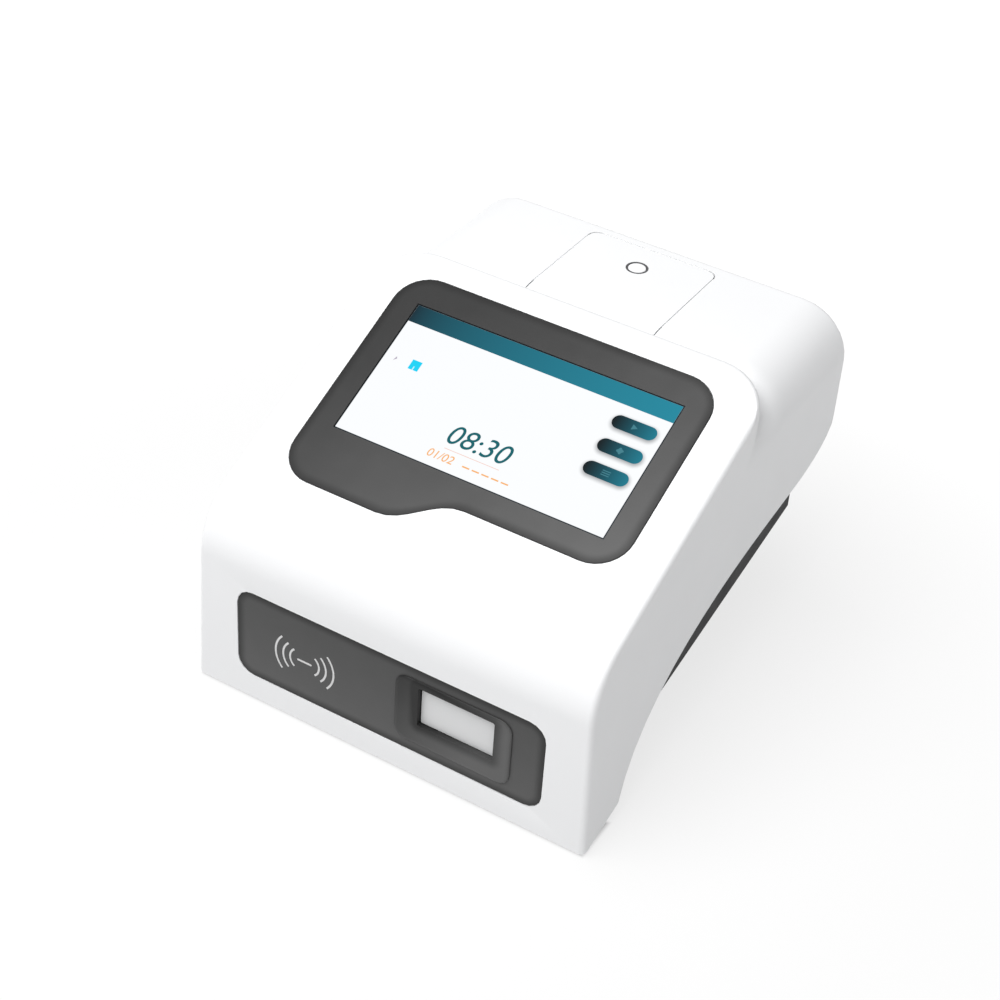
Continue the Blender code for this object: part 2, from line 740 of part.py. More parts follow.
def make_cover():
    """One moulding: front face, knee, slope, side arms and hood, hollowed from below."""
    low = TABLE_GAP
    cover = new_object("upper_cover", front_solid(0.0, low), WHITE, 0.35)
    hood = new_object("hood", hood_solid(0.0, low), WHITE)
    inner = new_object("inner", front_solid(WALL, low - OVERCUT), WHITE)
    inner_hood = new_object("inner_hood", hood_solid(WALL, low - OVERCUT), WHITE)
    cut(hood, above_slope(HOOD_SINK))
    cut(inner_hood, above_slope(WALL + HOOD_SINK))
    join(cover, copy_of(hood))
    join(inner, copy_of(inner_hood))
    cut(cover, copy_of(inner))
    for helper in (hood, inner, inner_hood):
        bpy.data.objects.remove(helper)
    under = [(-OVERCUT, low - OVERCUT), (0, low)] + arch_edge()
    under += [(BODY_DEPTH + OVERCUT, ARCH_HEEL_HEIGHT), (BODY_DEPTH + OVERCUT, low - OVERCUT)]
    cut(cover, prism(under, "X", -FOOT_WIDTH, FOOT_WIDTH))
    flare(cover)
    cut(cover, *fascia_cuts(), *screen_cuts(), lid_cut())
    join(cover, *front_bosses(), *rear_bosses(), *hinge_bosses())
    cut(cover, *cover_holes())


def front_boss_places():
    x = BASE_WIDTH / 2 - BASE_WALL - BOSS_SIDE_ROOM - BOSS_RADIUS
    return [(-x, BOSS_FROM_FRONT), (x, BOSS_FROM_FRONT)]


def rear_boss_places():
    x = BASE_WIDTH / 2 - BOSS_REAR_INSET_X
    y = BASE_REAR - BASE_WALL - GAP - BOSS_RADIUS
    return [(-x, y), (x, y)]


def front_bosses():
    """Screw towers in the front corners, each tied to the front wall by a rib."""
    tools = []
    for x, y in front_boss_places():
        ahead = KNEE_RADIUS - y + BOSS_RADIUS
        top = knee_centre()[1] + math.sqrt(KNEE_RADIUS ** 2 - ahead ** 2) - WALL / 2
        tools.append(cylinder("Z", (x, y), BOSS_RADIUS, BASE_FLOOR + GAP, top, SMALL_ROUND_SIDES))
        tools.append(box((x - WALL / 2, WALL - GAP, BASE_SILL + WALL), (x + WALL / 2, y, knee_centre()[1])))
    return tools


def rear_bosses():
    """Screw towers that hang from the hood's shoulders into the tub."""
    tools = []
    for x, y in rear_boss_places():
        beside = abs(x) - (HALF_WIDTH - HOOD_SHOULDER)
        rise = math.sqrt((HOOD_SHOULDER - WALL) ** 2 - max(0.0, beside) ** 2)
        top = HOOD_HEIGHT - HOOD_SHOULDER + rise + WALL / 2
        tools.append(cylinder("Z", (x, y), BOSS_RADIUS, BOSS_REAR_LOW, top, SMALL_ROUND_SIDES))
    return tools


def hinge_bosses():
    """Blocks under the hood beside the lid's opening, which carry the hinge pin."""
    start = LID_WIDTH / 2 + LID_SEAM + GAP
    half = HINGE_BOSS_SIZE / 2
    top = HOOD_HEIGHT - hood_dip(HINGE_Y) - WALL / 2
    return [mirrored_box(sign, (start, HINGE_Y - half, HINGE_Z - half),
                         (start + HINGE_BOSS_WIDTH, HINGE_Y + half, top)) for sign in (-1, 1)]


def cover_holes():
    """Pilot holes for the four screws, and the holes for the hinge pin."""
    tools = []
    for x, y in front_boss_places():
        tools.append(cylinder("Z", (x, y), SCREW_HOLE_RADIUS, TABLE_GAP - OVERCUT,
                              TABLE_GAP + SCREW_LENGTH, SMALL_ROUND_SIDES))
    for x, y in rear_boss_places():
        tools.append(cylinder("Y", (x, BOSS_SCREW_Z), SCREW_HOLE_RADIUS, BASE_REAR - SCREW_LENGTH,
                              y + OVERCUT, SMALL_ROUND_SIDES))
    start = LID_WIDTH / 2 + LID_SEAM
    for sign in (-1, 1):
        ends = sorted((sign * (start - GAP), sign * (start + HINGE_BOSS_WIDTH + OVERCUT / 2)))
        tools.append(cylinder("X", (HINGE_Y, HINGE_Z), HINGE_PIN_RADIUS + GAP, *ends, SMALL_ROUND_SIDES))
    return tools


def screen_cuts():
    """Seat for the bezel in the slope, and the window for the display behind it."""
    depth = BEZEL_THICKNESS - BEZEL_PROUD + GAP
    half = SCREEN_WIDTH / 2 + PANEL_MARGIN + GAP
    low = SCREEN_START - PANEL_MARGIN - GAP
    high = SCREEN_START + SCREEN_HEIGHT + PANEL_MARGIN + GAP
    return [on_slope(prism(bezel_outline(GAP), "Z", -depth, OVERCUT)),
            on_slope(box((-half, low, -OVERCUT), (half, high, OVERCUT)))]


def fascia_cuts():
    """Seat for the fascia in the front face, and the opening behind it."""
    half = FASCIA_WIDTH / 2
    seat = rounded_rect(-half - GAP, FASCIA_LOW - GAP, half + GAP, FASCIA_HIGH + GAP, FASCIA_CORNER + GAP)
    edge = FASCIA_REBATE
    inner = rounded_rect(-half + edge, FASCIA_LOW + edge, half - edge, FASCIA_HIGH - edge,
                         FASCIA_CORNER - edge)
    return [prism(seat, "Y", -OVERCUT, FASCIA_DROP + FASCIA_THICKNESS + GAP),
            prism(inner, "Y", -OVERCUT, OVERCUT)]


def lid_outline(front, grow):
    """Outline of the lid from above, with its round back corners."""
    half = LID_WIDTH / 2 + grow
    back = LID_BACK + grow
    radius = LID_CORNER + grow
    outline = [(-half, front), (half, front)]
    outline += arc((half - radius, back - radius), radius, 0, QUARTER, SMALL_STEPS)
    outline += arc((-half + radius, back - radius), radius, QUARTER, 2 * QUARTER, SMALL_STEPS)
    return outline


def lid_cut():
    return prism(lid_outline(CREST_Y + LID_LEDGE, LID_SEAM), "Z", HOOD_HEIGHT - OVERCUT,
                 HOOD_HEIGHT + OVERCUT)


def chine_height(y):
    return TABLE_GAP + CHINE_RISE * max(0.0, y - CHINE_START) / (BASE_REAR - CHINE_START)


def base_ring(y, shell):
    """Front view of the tub at one place along: bottom, sloping bilge, side, shoulder and lip."""
    half = BASE_WIDTH / 2 - shell
    chine = chine_height(y)
    bottom = half - BILGE_SHARE * (chine - TABLE_GAP)
    share = (y - BASE_FRONT) / (BASE_REAR - BASE_FRONT)
    shoulder = BASE_SHOULDER_FRONT + (BASE_SHOULDER_REAR - BASE_SHOULDER_FRONT) * share + shell
    lip = HALF_WIDTH - WALL - GAP - shell
    rim = shoulder + BASE_LIP + (OVERCUT if shell else 0.0)
    right = [(bottom, TABLE_GAP + shell), (half, chine + shell), (half, shoulder), (lip, shoulder),
             (lip, rim)]
    return [(x, y, z) for x, z in right] + [(-x, y, z) for x, z in reversed(right)]


def base_stations(shell):
    """Places along the tub, with one where the bilge starts to rise."""
    first = BASE_FRONT + shell
    last = BASE_REAR - shell
    return [first] + [CHINE_START + (last - CHINE_START) * i / BASE_STEPS for i in range(BASE_STEPS + 1)]


def make_base():
    base = new_object("base_tray", loft([base_ring(y, 0.0) for y in base_stations(0.0)]), BLACK)
    cut(base, loft([base_ring(y, BASE_WALL) for y in base_stations(BASE_WALL)]))
    side = BASE_WIDTH / 2 - BASE_SILL_POST
    cut(base, box((-side, 0, TABLE_GAP + BASE_SILL), (side, BASE_FRONT + BASE_WALL + GAP, KNEE_HEIGHT)))
    for x, y in foot_places():
        cut(base, cylinder("Z", (x, y), FOOT_RADIUS + GAP, -OVERCUT, FOOT_HEIGHT + GAP, SMALL_ROUND_SIDES))
    for x, y in front_boss_places():
        cut(base, cylinder("Z", (x, y), SCREW_HOLE_RADIUS, -OVERCUT, OVERCUT, SMALL_ROUND_SIDES))
    for x, y in rear_boss_places():
        cut(base, cylinder("Y", (x, BOSS_SCREW_Z), SCREW_HOLE_RADIUS, y, BASE_REAR + OVERCUT,
                           SMALL_ROUND_SIDES))
    for x, y in board_post_places():
        join(base, cylinder("Z", (x, y), POST_RADIUS, BASE_FLOOR - BASE_WALL / 2, BOARD_LOW - GAP,
                            SMALL_ROUND_SIDES))
    half = PANEL_WIDTH / 2 - PANEL_REBATE
    cut(base, box((-half, BASE_REAR - OVERCUT, PANEL_LOW + PANEL_REBATE),
                  (half, BASE_REAR + OVERCUT, PANEL_HIGH - PANEL_REBATE)))
    for i in range(SPEAKER_SLOTS):
        y = SPEAKER_Y + SPEAKER_SLOT_SPREAD * (i / (SPEAKER_SLOTS - 1) - 1 / 2)
        reach = math.sqrt(SPEAKER_RADIUS ** 2 - (y - SPEAKER_Y) ** 2) - SPEAKER_SLOT_WIDTH
        cut(base, box((SPEAKER_X - reach, y - SPEAKER_SLOT_WIDTH / 2, -OVERCUT),
                      (SPEAKER_X + reach, y + SPEAKER_SLOT_WIDTH / 2, BASE_FLOOR + GAP)))


def foot_places():
    places = []
    for y in (BASE_FRONT + FOOT_INSET_FRONT, BASE_REAR - FOOT_INSET_REAR):
        half = BASE_WIDTH / 2 - BILGE_SHARE * (chine_height(y) - TABLE_GAP) - FOOT_INSET_X
        places += [(-half, y), (half, y)]
    return places


def make_feet():
    for i, (x, y) in enumerate(foot_places()):
        foot = cylinder("Z", (x, y), FOOT_RADIUS, 0, FOOT_HEIGHT, SMALL_ROUND_SIDES)
        new_object(f"rubber_foot_{i + 1}", foot, BLACK, 0.9)


def make_screws():
    """Two screws from below at the front, and two through the back of the tub."""
    for i, (x, y) in enumerate(front_boss_places()):
        face = TABLE_GAP - GAP - SCREW_HEAD_HEIGHT
        make_screw(f"cover_screw_front_{i + 1}", "Z", (x, y), face, 1)
    for i, (x, y) in enumerate(rear_boss_places()):
        face = BASE_REAR + GAP + SCREW_HEAD_HEIGHT
        make_screw(f"cover_screw_rear_{i + 1}", "Y", (x, BOSS_SCREW_Z), face, -1)


def make_screw(name, axis, centre, face, sign):
    neck = face + sign * SCREW_HEAD_HEIGHT
    head = cylinder(axis, centre, SCREW_HEAD_RADIUS, *sorted((face, neck)), SMALL_ROUND_SIDES)
    screw = new_object(name, head, STEEL, 0.35, 1.0)
    start = neck - sign * SCREW_HEAD_HEIGHT / 4
    end = neck + sign * SCREW_LENGTH
    join(screw, cylinder(axis, centre, SCREW_RADIUS, *sorted((start, end)), SMALL_ROUND_SIDES))
    floor = face + sign * SCREW_DRIVE_DEPTH
    above = face - sign * OVERCUT
    cut(screw, cylinder(axis, centre, SCREW_DRIVE_RADIUS, *sorted((above, floor)), SCREW_DRIVE_SIDES))


def bezel_outline(grow):
    """Outline of the bezel, across and up the slope, with the deeper lower left corner."""
    half = SCREEN_WIDTH / 2 + BEZEL_SIDE + grow
    top = SCREEN_START + SCREEN_HEIGHT + BEZEL_TOP + grow
    low = SCREEN_START - BEZEL_BOTTOM - grow
    tab = low - BEZEL_TAB_DROP
    radius = BEZEL_CORNER + grow
    start = -half + BEZEL_TAB_WIDTH
    end = start + BEZEL_TAB_SWEEP
    fine = 2 * SMALL_STEPS
    outline = bezier((start, tab), (start + BEZEL_TAB_PULL, tab), (end - BEZEL_TAB_PULL, low), (end, low), fine)
    outline += arc((half - radius, low + radius), radius, -QUARTER, 0, fine)
    outline += arc((half - radius, top - radius), radius, 0, QUARTER, fine)
    outline += arc((-half + radius, top - radius), radius, QUARTER, 2 * QUARTER, fine)
    outline += arc((-half + radius, tab + radius), radius, 2 * QUARTER, 3 * QUARTER, fine)
    return outline


def make_screen():
    """Bezel, touch pane, display and the bracket that holds it, all lying on the slope."""
    half = SCREEN_WIDTH / 2
    start = SCREEN_START
    end = SCREEN_START + SCREEN_HEIGHT
    bezel_low = BEZEL_PROUD - BEZEL_THICKNESS
    bezel = new_object("screen_bezel", on_slope(prism(bezel_outline(0.0), "Z", bezel_low, BEZEL_PROUD)),
                       CHARCOAL, 0.25)
    cut(bezel, on_slope(box((-half, start, -OVERCUT), (half, end, OVERCUT))))
    pane_top = BEZEL_PROUD - GLASS_DROP
    pane = box((-half + GAP, start + GAP, pane_top - GLASS_THICKNESS), (half - GAP, end - GAP, pane_top))
    new_object("touch_glass", on_slope(pane), (0.95, 0.96, 0.97), 0.12)
    margin = PANEL_MARGIN
    panel_top = bezel_low - GAP
    panel_low = panel_top - PANEL_THICKNESS
    panel = box((-half - margin, start - margin, panel_low), (half + margin, end + margin, panel_top))
    new_object("lcd_panel", on_slope(panel), STEEL, 0.4, 0.6)
    margin += BRACKET_MARGIN
    top = panel_low - GAP
    low = top - BRACKET_DEPTH
    bracket = box((-half - margin, start - margin, low), (half + margin, end + margin, top))
    bracket = new_object("lcd_bracket", on_slope(bracket), STEEL, 0.35, 0.9)
    margin -= BRACKET_SHEET
    cut(bracket, on_slope(box((-half - margin, start - margin, low - OVERCUT),
                              (half + margin, end + margin, top - BRACKET_SHEET))))
    middle = start + SCREEN_HEIGHT / 2
    for i in range(BRACKET_SLOTS):
        x = SCREEN_WIDTH / BRACKET_SLOTS * (i - (BRACKET_SLOTS - 1) / 2)
        cut(bracket, on_slope(box((x - BRACKET_SLOT_LENGTH / 2, middle - BRACKET_SLOT_WIDTH / 2, low),
                                  (x + BRACKET_SLOT_LENGTH / 2, middle + BRACKET_SLOT_WIDTH / 2, top + GAP))))


def slot_outline(grow):
    half_width = SLOT_WIDTH / 2 + grow
    half_height = SLOT_HEIGHT / 2 + grow
    return rounded_rect(SLOT_X - half_width, SLOT_Z - half_height, SLOT_X + half_width,
                        SLOT_Z + half_height, SLOT_CORNER + max(grow, 0.0))


def make_fascia():
    """Dark front plate with pegs behind it for the card reader's board."""
    half = FASCIA_WIDTH / 2
    back = FASCIA_DROP + FASCIA_THICKNESS
    plate = rounded_rect(-half, FASCIA_LOW, half, FASCIA_HIGH, FASCIA_CORNER)
    fascia = new_object("front_fascia", prism(plate, "Y", FASCIA_DROP, back), CHARCOAL, 0.4)
    cut(fascia, prism(slot_outline(SLEEVE_WALL + GAP), "Y", -OVERCUT, OVERCUT))
    for sign_x in (-1, 1):
        for sign_z in (-1, 1):
            x = READER_X + sign_x * (READER_WIDTH / 2 - POST_INSET)
            z = READER_Z + sign_z * (READER_HEIGHT / 2 - POST_INSET)
            join(fascia, cylinder("Y", (x, z), POST_RADIUS, back - FASCIA_THICKNESS / 2,
                                  back + READER_STANDOFF, SMALL_ROUND_SIDES))


def make_surround():
    """Raised pad round the slot with soft edges, and its sleeve through the fascia."""
    rings = []
    for i in range(SMALL_STEPS + 1):
        angle = QUARTER * i / SMALL_STEPS
        y = SLEEVE_FRONT - (SURROUND_PROUD + SLEEVE_FRONT) * math.sin(angle)
        inset = SURROUND_SOFTNESS * (1 - math.cos(angle))
        outline = rounded_rect(SURROUND_LEFT + inset, SURROUND_LOW + inset, SURROUND_RIGHT - inset,
                               SURROUND_HIGH - inset, SURROUND_CORNER - inset)
        rings.append([(x, y, z) for x, z in outline])
    surround = new_object("slot_surround", loft(rings), CHARCOAL, 0.45)
    join(surround, prism(slot_outline(SLEEVE_WALL), "Y", SLEEVE_FRONT - SURROUND_PROUD / 4, SLEEVE_LENGTH))
    cut(surround, prism(slot_outline(0.0), "Y", -OVERCUT, 2 * SLEEVE_LENGTH))


def make_reader():
    """Card reader's board with its flat antenna coil."""
    front = FASCIA_DROP + FASCIA_THICKNESS + READER_STANDOFF + GAP
    half_width = READER_WIDTH / 2
    half_height = READER_HEIGHT / 2
    board = new_object("reader_board", box((READER_X - half_width, front, READER_Z - half_height),
                                           (READER_X + half_width, front + BOARD_THICKNESS,
                                            READER_Z + half_height)), BOARD_GREEN)
    back = front + BOARD_THICKNESS
    outer = [half_width - READER_COIL_WALL, half_height - READER_COIL_WALL]
    coil = rounded_rect(READER_X - outer[0], READER_Z - outer[1], READER_X + outer[0], READER_Z + outer[1],
                        READER_COIL_WALL)
    join(board, prism(coil, "Y", back - BOARD_THICKNESS / 2, back + READER_COIL_HEIGHT))
    inner = [size - READER_COIL_WALL for size in outer]
    hole = rounded_rect(READER_X - inner[0], READER_Z - inner[1], READER_X + inner[0], READER_Z + inner[1],
                        READER_COIL_WALL / 2)
    cut(board, prism(hole, "Y", back, back + OVERCUT))


def rack_outline():
    """Toothed strip on the drawer's left edge; one of its gaps faces the pinion at rest."""
    half_root, half_tip = tooth_halves(RACK_MODULE)
    root = RACK_ROOT
    tip = RACK_LINE - RACK_MODULE * TOOTH_TIP_SHARE
    count = int(TRAY_TRAVEL / RACK_PITCH) + 4
    first = PINION_Y - RACK_PITCH * 3 / 2
    points = []
    for i in range(count):
        y = first + i * RACK_PITCH
        points += [(root, y - half_root), (tip, y - half_tip), (tip, y + half_tip), (root, y + half_root)]
    inside = TRAY_LEFT + RACK_MODULE
    return points + [(inside, points[-1][1]), (inside, points[0][1])]


def rail_places():
    return (SLOT_X - RAIL_SPREAD / 2, SLOT_X + RAIL_SPREAD / 2)


def make_tray():
    """Drawer with its front plate, card pocket, rack and the grooves that run on the rails."""
    back = TRAY_RECESS + TRAY_FACE_THICKNESS
    tray = new_object("card_tray", prism(slot_outline(-GAP), "Y", TRAY_RECESS, back), (0.72, 0.72, 0.73), 0.4)
    join(tray, box((TRAY_LEFT, back - TRAY_FACE_THICKNESS / 2, TRAY_LOW), (TRAY_RIGHT, TRAY_BACK, TRAY_HIGH)))
    join(tray, prism(rack_outline(), "Z", TRAY_Z - PINION_WIDTH / 2, TRAY_Z + PINION_WIDTH / 2))
    start = TRAY_RECESS + POCKET_FROM_FACE
    cut(tray, box((SLOT_X - POCKET_WIDTH / 2, start, TRAY_HIGH - POCKET_DEPTH),
                  (SLOT_X + POCKET_WIDTH / 2, start + POCKET_LENGTH, TRAY_HIGH + OVERCUT)))
    for x in rail_places():
        cut(tray, cylinder("Y", (x, RAIL_Z), RAIL_RADIUS + RUN_GAP, back + GAP, TRAY_BACK + OVERCUT))


def make_rails():
    for side, x in zip(("left", "right"), rail_places()):
        rail = cylinder("Y", (x, RAIL_Z), RAIL_RADIUS, FRAME_START + GAP, FRAME_BACK - GAP)
        new_object(f"tray_rail_{side}", rail, STEEL, 0.2, 1.0)


def make_tray_drive():
    """Pinion with its shaft, and the motor under the frame's web."""
    low = TRAY_Z - PINION_WIDTH / 2
    centre = (PINION_X, PINION_Y)
    pinion = prism(gear_outline(PINION_TEETH, RACK_MODULE, centre, 0.0), "Z", low, low + PINION_WIDTH)
    pinion = new_object("tray_pinion", pinion, NYLON, 0.5)
    top = FRAME_WEB_TOP - FRAME_SHEET - GAP
    join(pinion, cylinder("Z", centre, TRAY_SHAFT_RADIUS, top - TRAY_SHAFT_DEPTH, low + PINION_WIDTH / 2,
                          SMALL_ROUND_SIDES))
    set_origin(pinion, (*centre, TRAY_Z))
    motor = cylinder("Z", centre, TRAY_MOTOR_RADIUS, top - TRAY_MOTOR_HEIGHT, top)
    motor = new_object("tray_motor", motor, STEEL, 0.35, 0.9)
    cut(motor, cylinder("Z", centre, TRAY_SHAFT_RADIUS + GAP, top - TRAY_SHAFT_DEPTH - GAP, top + OVERCUT,
                        SMALL_ROUND_SIDES))


def make_mech_frame():
    """Folded sheet frame: two side walls on the tub's floor and a web between them."""
    low = BASE_FLOOR + GAP
    outer = box((FRAME_LEFT, FRAME_START, low), (FRAME_RIGHT, FRAME_BACK, FRAME_TOP))
    frame = new_object("mech_frame", outer, STEEL, 0.35, 0.9)
    left = FRAME_LEFT + FRAME_SHEET
    right = FRAME_RIGHT - FRAME_SHEET
    ends = (FRAME_START - OVERCUT, FRAME_BACK + OVERCUT)
    cut(frame, box((left, ends[0], low - OVERCUT), (right, ends[1], FRAME_WEB_TOP - FRAME_SHEET)),
        box((left, ends[0], FRAME_WEB_TOP), (right, ends[1], FRAME_TOP + OVERCUT)),
        cylinder("Z", (PINION_X, PINION_Y), TRAY_SHAFT_RADIUS * 2, 0, FRAME_TOP))
    for i in range(FRAME_WINDOWS):
        y = FRAME_START + FRAME_LENGTH * (i + 1) / (FRAME_WINDOWS + 1)
        cut(frame, box((SLOT_X - FRAME_WINDOW_WIDTH / 2, y - FRAME_WINDOW_LENGTH / 2, 0),
                       (SLOT_X + FRAME_WINDOW_WIDTH / 2, y + FRAME_WINDOW_LENGTH / 2, FRAME_TOP)))


def bridge(name, start, length, width, height, colour, roughness, metallic):
    """A block over the drawer, carried between the frame's walls by a thin plate."""
    low = TRAY_HIGH + BRIDGE_LIFT
    left = FRAME_LEFT + FRAME_SHEET + GAP
    right = FRAME_RIGHT - FRAME_SHEET - GAP
    plate = box((left, start, low + BRIDGE_SHEET), (right, start + length, low + 2 * BRIDGE_SHEET))
    obj = new_object(name, plate, colour, roughness, metallic)
    join(obj, box((SLOT_X - width / 2, start, low), (SLOT_X + width / 2, start + length, low + height)))
    return obj


def make_heater():
    heater = bridge("heater_block", HEATER_START, HEATER_LENGTH, HEATER_WIDTH, HEATER_HEIGHT,
                    (0.7, 0.7, 0.7), 0.4, 1.0)
    top = TRAY_HIGH + BRIDGE_LIFT + HEATER_HEIGHT
    for i in range(HEATER_GROOVES):
        y = HEATER_START + HEATER_LENGTH * (i + 1) / (HEATER_GROOVES + 1)
        cut(heater, box((SLOT_X - HEATER_WIDTH, y - HEATER_GROOVE_WIDTH / 2, top - HEATER_GROOVE_DEPTH),
                        (SLOT_X + HEATER_WIDTH, y + HEATER_GROOVE_WIDTH / 2, top + OVERCUT)))


def make_optics():
    optics = bridge("optical_head", OPTICS_START, OPTICS_LENGTH, OPTICS_WIDTH, OPTICS_HEIGHT, BLACK, 0.6, 0.0)
    top = TRAY_HIGH + BRIDGE_LIFT + OPTICS_HEIGHT
    y = OPTICS_START + OPTICS_LENGTH / 2
    for sign in (-1, 1):
        x = SLOT_X + sign * OPTICS_BARREL_SPREAD / 2
        join(optics, cylinder("Z", (x, y), OPTICS_BARREL_RADIUS, top - BRIDGE_SHEET,
                              top + OPTICS_BARREL_HEIGHT))


def board_post_places():
    x = BOARD_WIDTH / 2 - POST_INSET
    ys = (BOARD_BACK - BOARD_LENGTH + POST_INSET, BOARD_BACK - 4 * POST_INSET)
    return [(sign * x, y) for sign in (-1, 1) for y in ys]


def make_main_board():
    half = BOARD_WIDTH / 2
    front = BOARD_BACK - BOARD_LENGTH
    board = new_object("main_board", box((-half, front, BOARD_LOW), (half, BOARD_BACK, BOARD_TOP)),
                       BOARD_GREEN)
    y = front + BOARD_LENGTH / 3
    for i in range(CHIPS):
        x = CHIP_SPREAD * (i / (CHIPS - 1) - 1 / 2)
        join(board, box((x - CHIP_SIZE / 2, y - CHIP_SIZE / 2, BOARD_TOP - BOARD_THICKNESS / 2),
                        (x + CHIP_SIZE / 2, y + CHIP_SIZE / 2, BOARD_TOP + CHIP_HEIGHT)))


def make_speaker():
    low = BASE_FLOOR + GAP
    centre = (SPEAKER_X, SPEAKER_Y)
    speaker = new_object("speaker", cylinder("Z", centre, SPEAKER_RADIUS, low, low + SPEAKER_HEIGHT), BLACK)
    cut(speaker, cylinder("Z", centre, SPEAKER_CONE_RADIUS, low - OVERCUT, low + SPEAKER_CONE_DEPTH))


def lid_profile():
    """Side view of the lid's plate, whose top follows the hood."""
    stations = [LID_FRONT] + [y for y in dip_stations() if y > LID_FRONT] + [LID_BACK]
    top = [(y, HOOD_HEIGHT - hood_dip(y)) for y in stations]
    return top + [(y, z - LID_THICKNESS) for y, z in reversed(top)]


def make_lid():
    """Printer lid with hinge knuckles, ribs, platen ears and the latch bar's guides."""
    half = LID_WIDTH / 2
    plate = prism(lid_profile(), "X", -half, half)
    lid = new_object("printer_lid", plate, WHITE, 0.35)
    combine(lid, prism(lid_outline(LID_FRONT - LID_SEAM, 0.0), "Z", LID_UNDER - OVERCUT,
                       HOOD_HEIGHT + OVERCUT), "INTERSECT")
    joint = LID_UNDER + LID_THICKNESS / 4
    for sign in (-1, 1):
        ends = sorted((sign * (KNUCKLE_X - KNUCKLE_WIDTH / 2), sign * (KNUCKLE_X + KNUCKLE_WIDTH / 2)))
        join(lid, cylinder("X", (HINGE_Y, HINGE_Z), KNUCKLE_RADIUS, *ends, SMALL_ROUND_SIDES))
        web_top = HOOD_HEIGHT - hood_dip(HINGE_Y) - LID_THICKNESS * 3 / 4
        join(lid, box((ends[0], HINGE_Y - KNUCKLE_RADIUS * 3 / 4, HINGE_Z),
                      (ends[1], HINGE_Y + KNUCKLE_RADIUS * 3 / 4, web_top)))
        rib = LID_RIB_SPREAD / 2
        rib_start = BAY_FRONT + BAY_WALL + LID_RIB_LEAD
        join(lid, mirrored_box(sign, (rib, rib_start, LID_UNDER - LID_RIB_HEIGHT),
                               (rib + LID_RIB_WIDTH, BUTTON_Y - 2 * LATCH_WIDTH, joint)))
        join(lid, mirrored_box(sign, (EAR_IN, PLATEN_Y - EAR_HALF, PLATEN_Z - EAR_HALF * 3 / 4),
                               (EAR_IN + EAR_SHEET, PLATEN_Y + EAR_HALF, joint)))
        join(lid, *guide_tools(sign, joint))
    cut(lid, cylinder("X", (HINGE_Y, HINGE_Z), HINGE_PIN_RADIUS + GAP, -half, half, SMALL_ROUND_SIDES),
        cylinder("X", (PLATEN_Y, PLATEN_Z), SHAFT_RADIUS + GAP, -half, half, SMALL_ROUND_SIDES),
        cylinder("Z", (0, BUTTON_Y), RING_RADIUS + GAP, LID_UNDER - GAP, HOOD_HEIGHT + OVERCUT))
    set_origin(lid, (0, HINGE_Y, HINGE_Z))


def guide_tools(sign, joint):
    """Hooked strips under the lid that carry the latch bar along one of its sides."""
    inner = LATCH_WIDTH / 2 + GAP
    outer = inner + GUIDE_WALL
    low = LATCH_LOW - GAP - GUIDE_LIP
    tools = []
    for start, end in ((GUIDE_LEFT_START, GUIDE_LEFT_END), (GUIDE_RIGHT_START, GUIDE_RIGHT_END)):
        wall = sorted((BUTTON_Y + sign * inner, BUTTON_Y + sign * outer))
        lip = sorted((BUTTON_Y + sign * (inner - GAP - GUIDE_LIP), BUTTON_Y + sign * (outer - GAP)))
        tools.append(box((start, wall[0], low), (end, wall[1], joint)))
        tools.append(box((start + GAP, lip[0], low + GAP / 2), (end - GAP, lip[1], low + GUIDE_LIP)))
    return tools


def make_hinge_pin():
    half = LID_WIDTH / 2 + LID_SEAM + GAP + HINGE_BOSS_WIDTH
    pin = cylinder("X", (HINGE_Y, HINGE_Z), HINGE_PIN_RADIUS, -half, half, SMALL_ROUND_SIDES)
    new_object("hinge_pin", pin, STEEL, 0.25, 1.0)


def make_button():
    """Round button with its wedge stem, and the ring round it."""
    top = HOOD_HEIGHT + RING_PROUD
    ring = new_object("button_ring", cylinder("Z", (0, BUTTON_Y), RING_RADIUS, top - RING_HEIGHT, top),
                      CHARCOAL, 0.4)
    cut(ring, cylinder("Z", (0, BUTTON_Y), RING_RADIUS - RING_WALL, top - OVERCUT, top + OVERCUT))
    button = new_object("lid_button", cylinder("Z", (0, BUTTON_Y), BUTTON_RADIUS,
                                               HOOD_HEIGHT - BUTTON_THICKNESS, HOOD_HEIGHT), WHITE, 0.35)
    join(button, prism(stem_outline(), "Y", BUTTON_Y - STEM_HALF, BUTTON_Y + STEM_HALF))
    set_origin(button, (0, BUTTON_Y, HOOD_HEIGHT))


def stem_outline():
    """Wedge of the stem as (x, z): its slanted right side pushes the bar as it goes down."""
    top = HOOD_HEIGHT - BUTTON_THICKNESS * 3 / 4
    bend = LATCH_TOP + GAP
    tip = STEM_HALF - (bend - LATCH_LOW)
    return [(-STEM_HALF, LATCH_LOW), (tip, LATCH_LOW), (STEM_HALF, bend), (STEM_HALF, top), (-STEM_HALF, top)]


def make_latch():
    """Flat bar that locks into the paper well's left wall, with the slanted slot for the stem."""
    half = LATCH_WIDTH / 2
    left = -BAY_INNER_WIDTH / 2 - LATCH_REACH
    bar = box((left, BUTTON_Y - half, LATCH_LOW), (LATCH_RIGHT, BUTTON_Y + half, LATCH_TOP))
    bar = new_object("latch_bar", bar, STEEL, 0.3, 1.0)
    low = LATCH_LOW - GAP
    high = LATCH_TOP + GAP
    rest = -STEM_HALF - BUTTON_TRAVEL - GAP
    reach = STEM_HALF + GAP * math.sqrt(2)
    opening = [(rest, low), (reach - (high - low), low), (reach, high), (rest, high)]
    side = STEM_HALF + LATCH_SLOT_SIDE
    cut(bar, prism(opening, "Y", BUTTON_Y - side, BUTTON_Y + side))


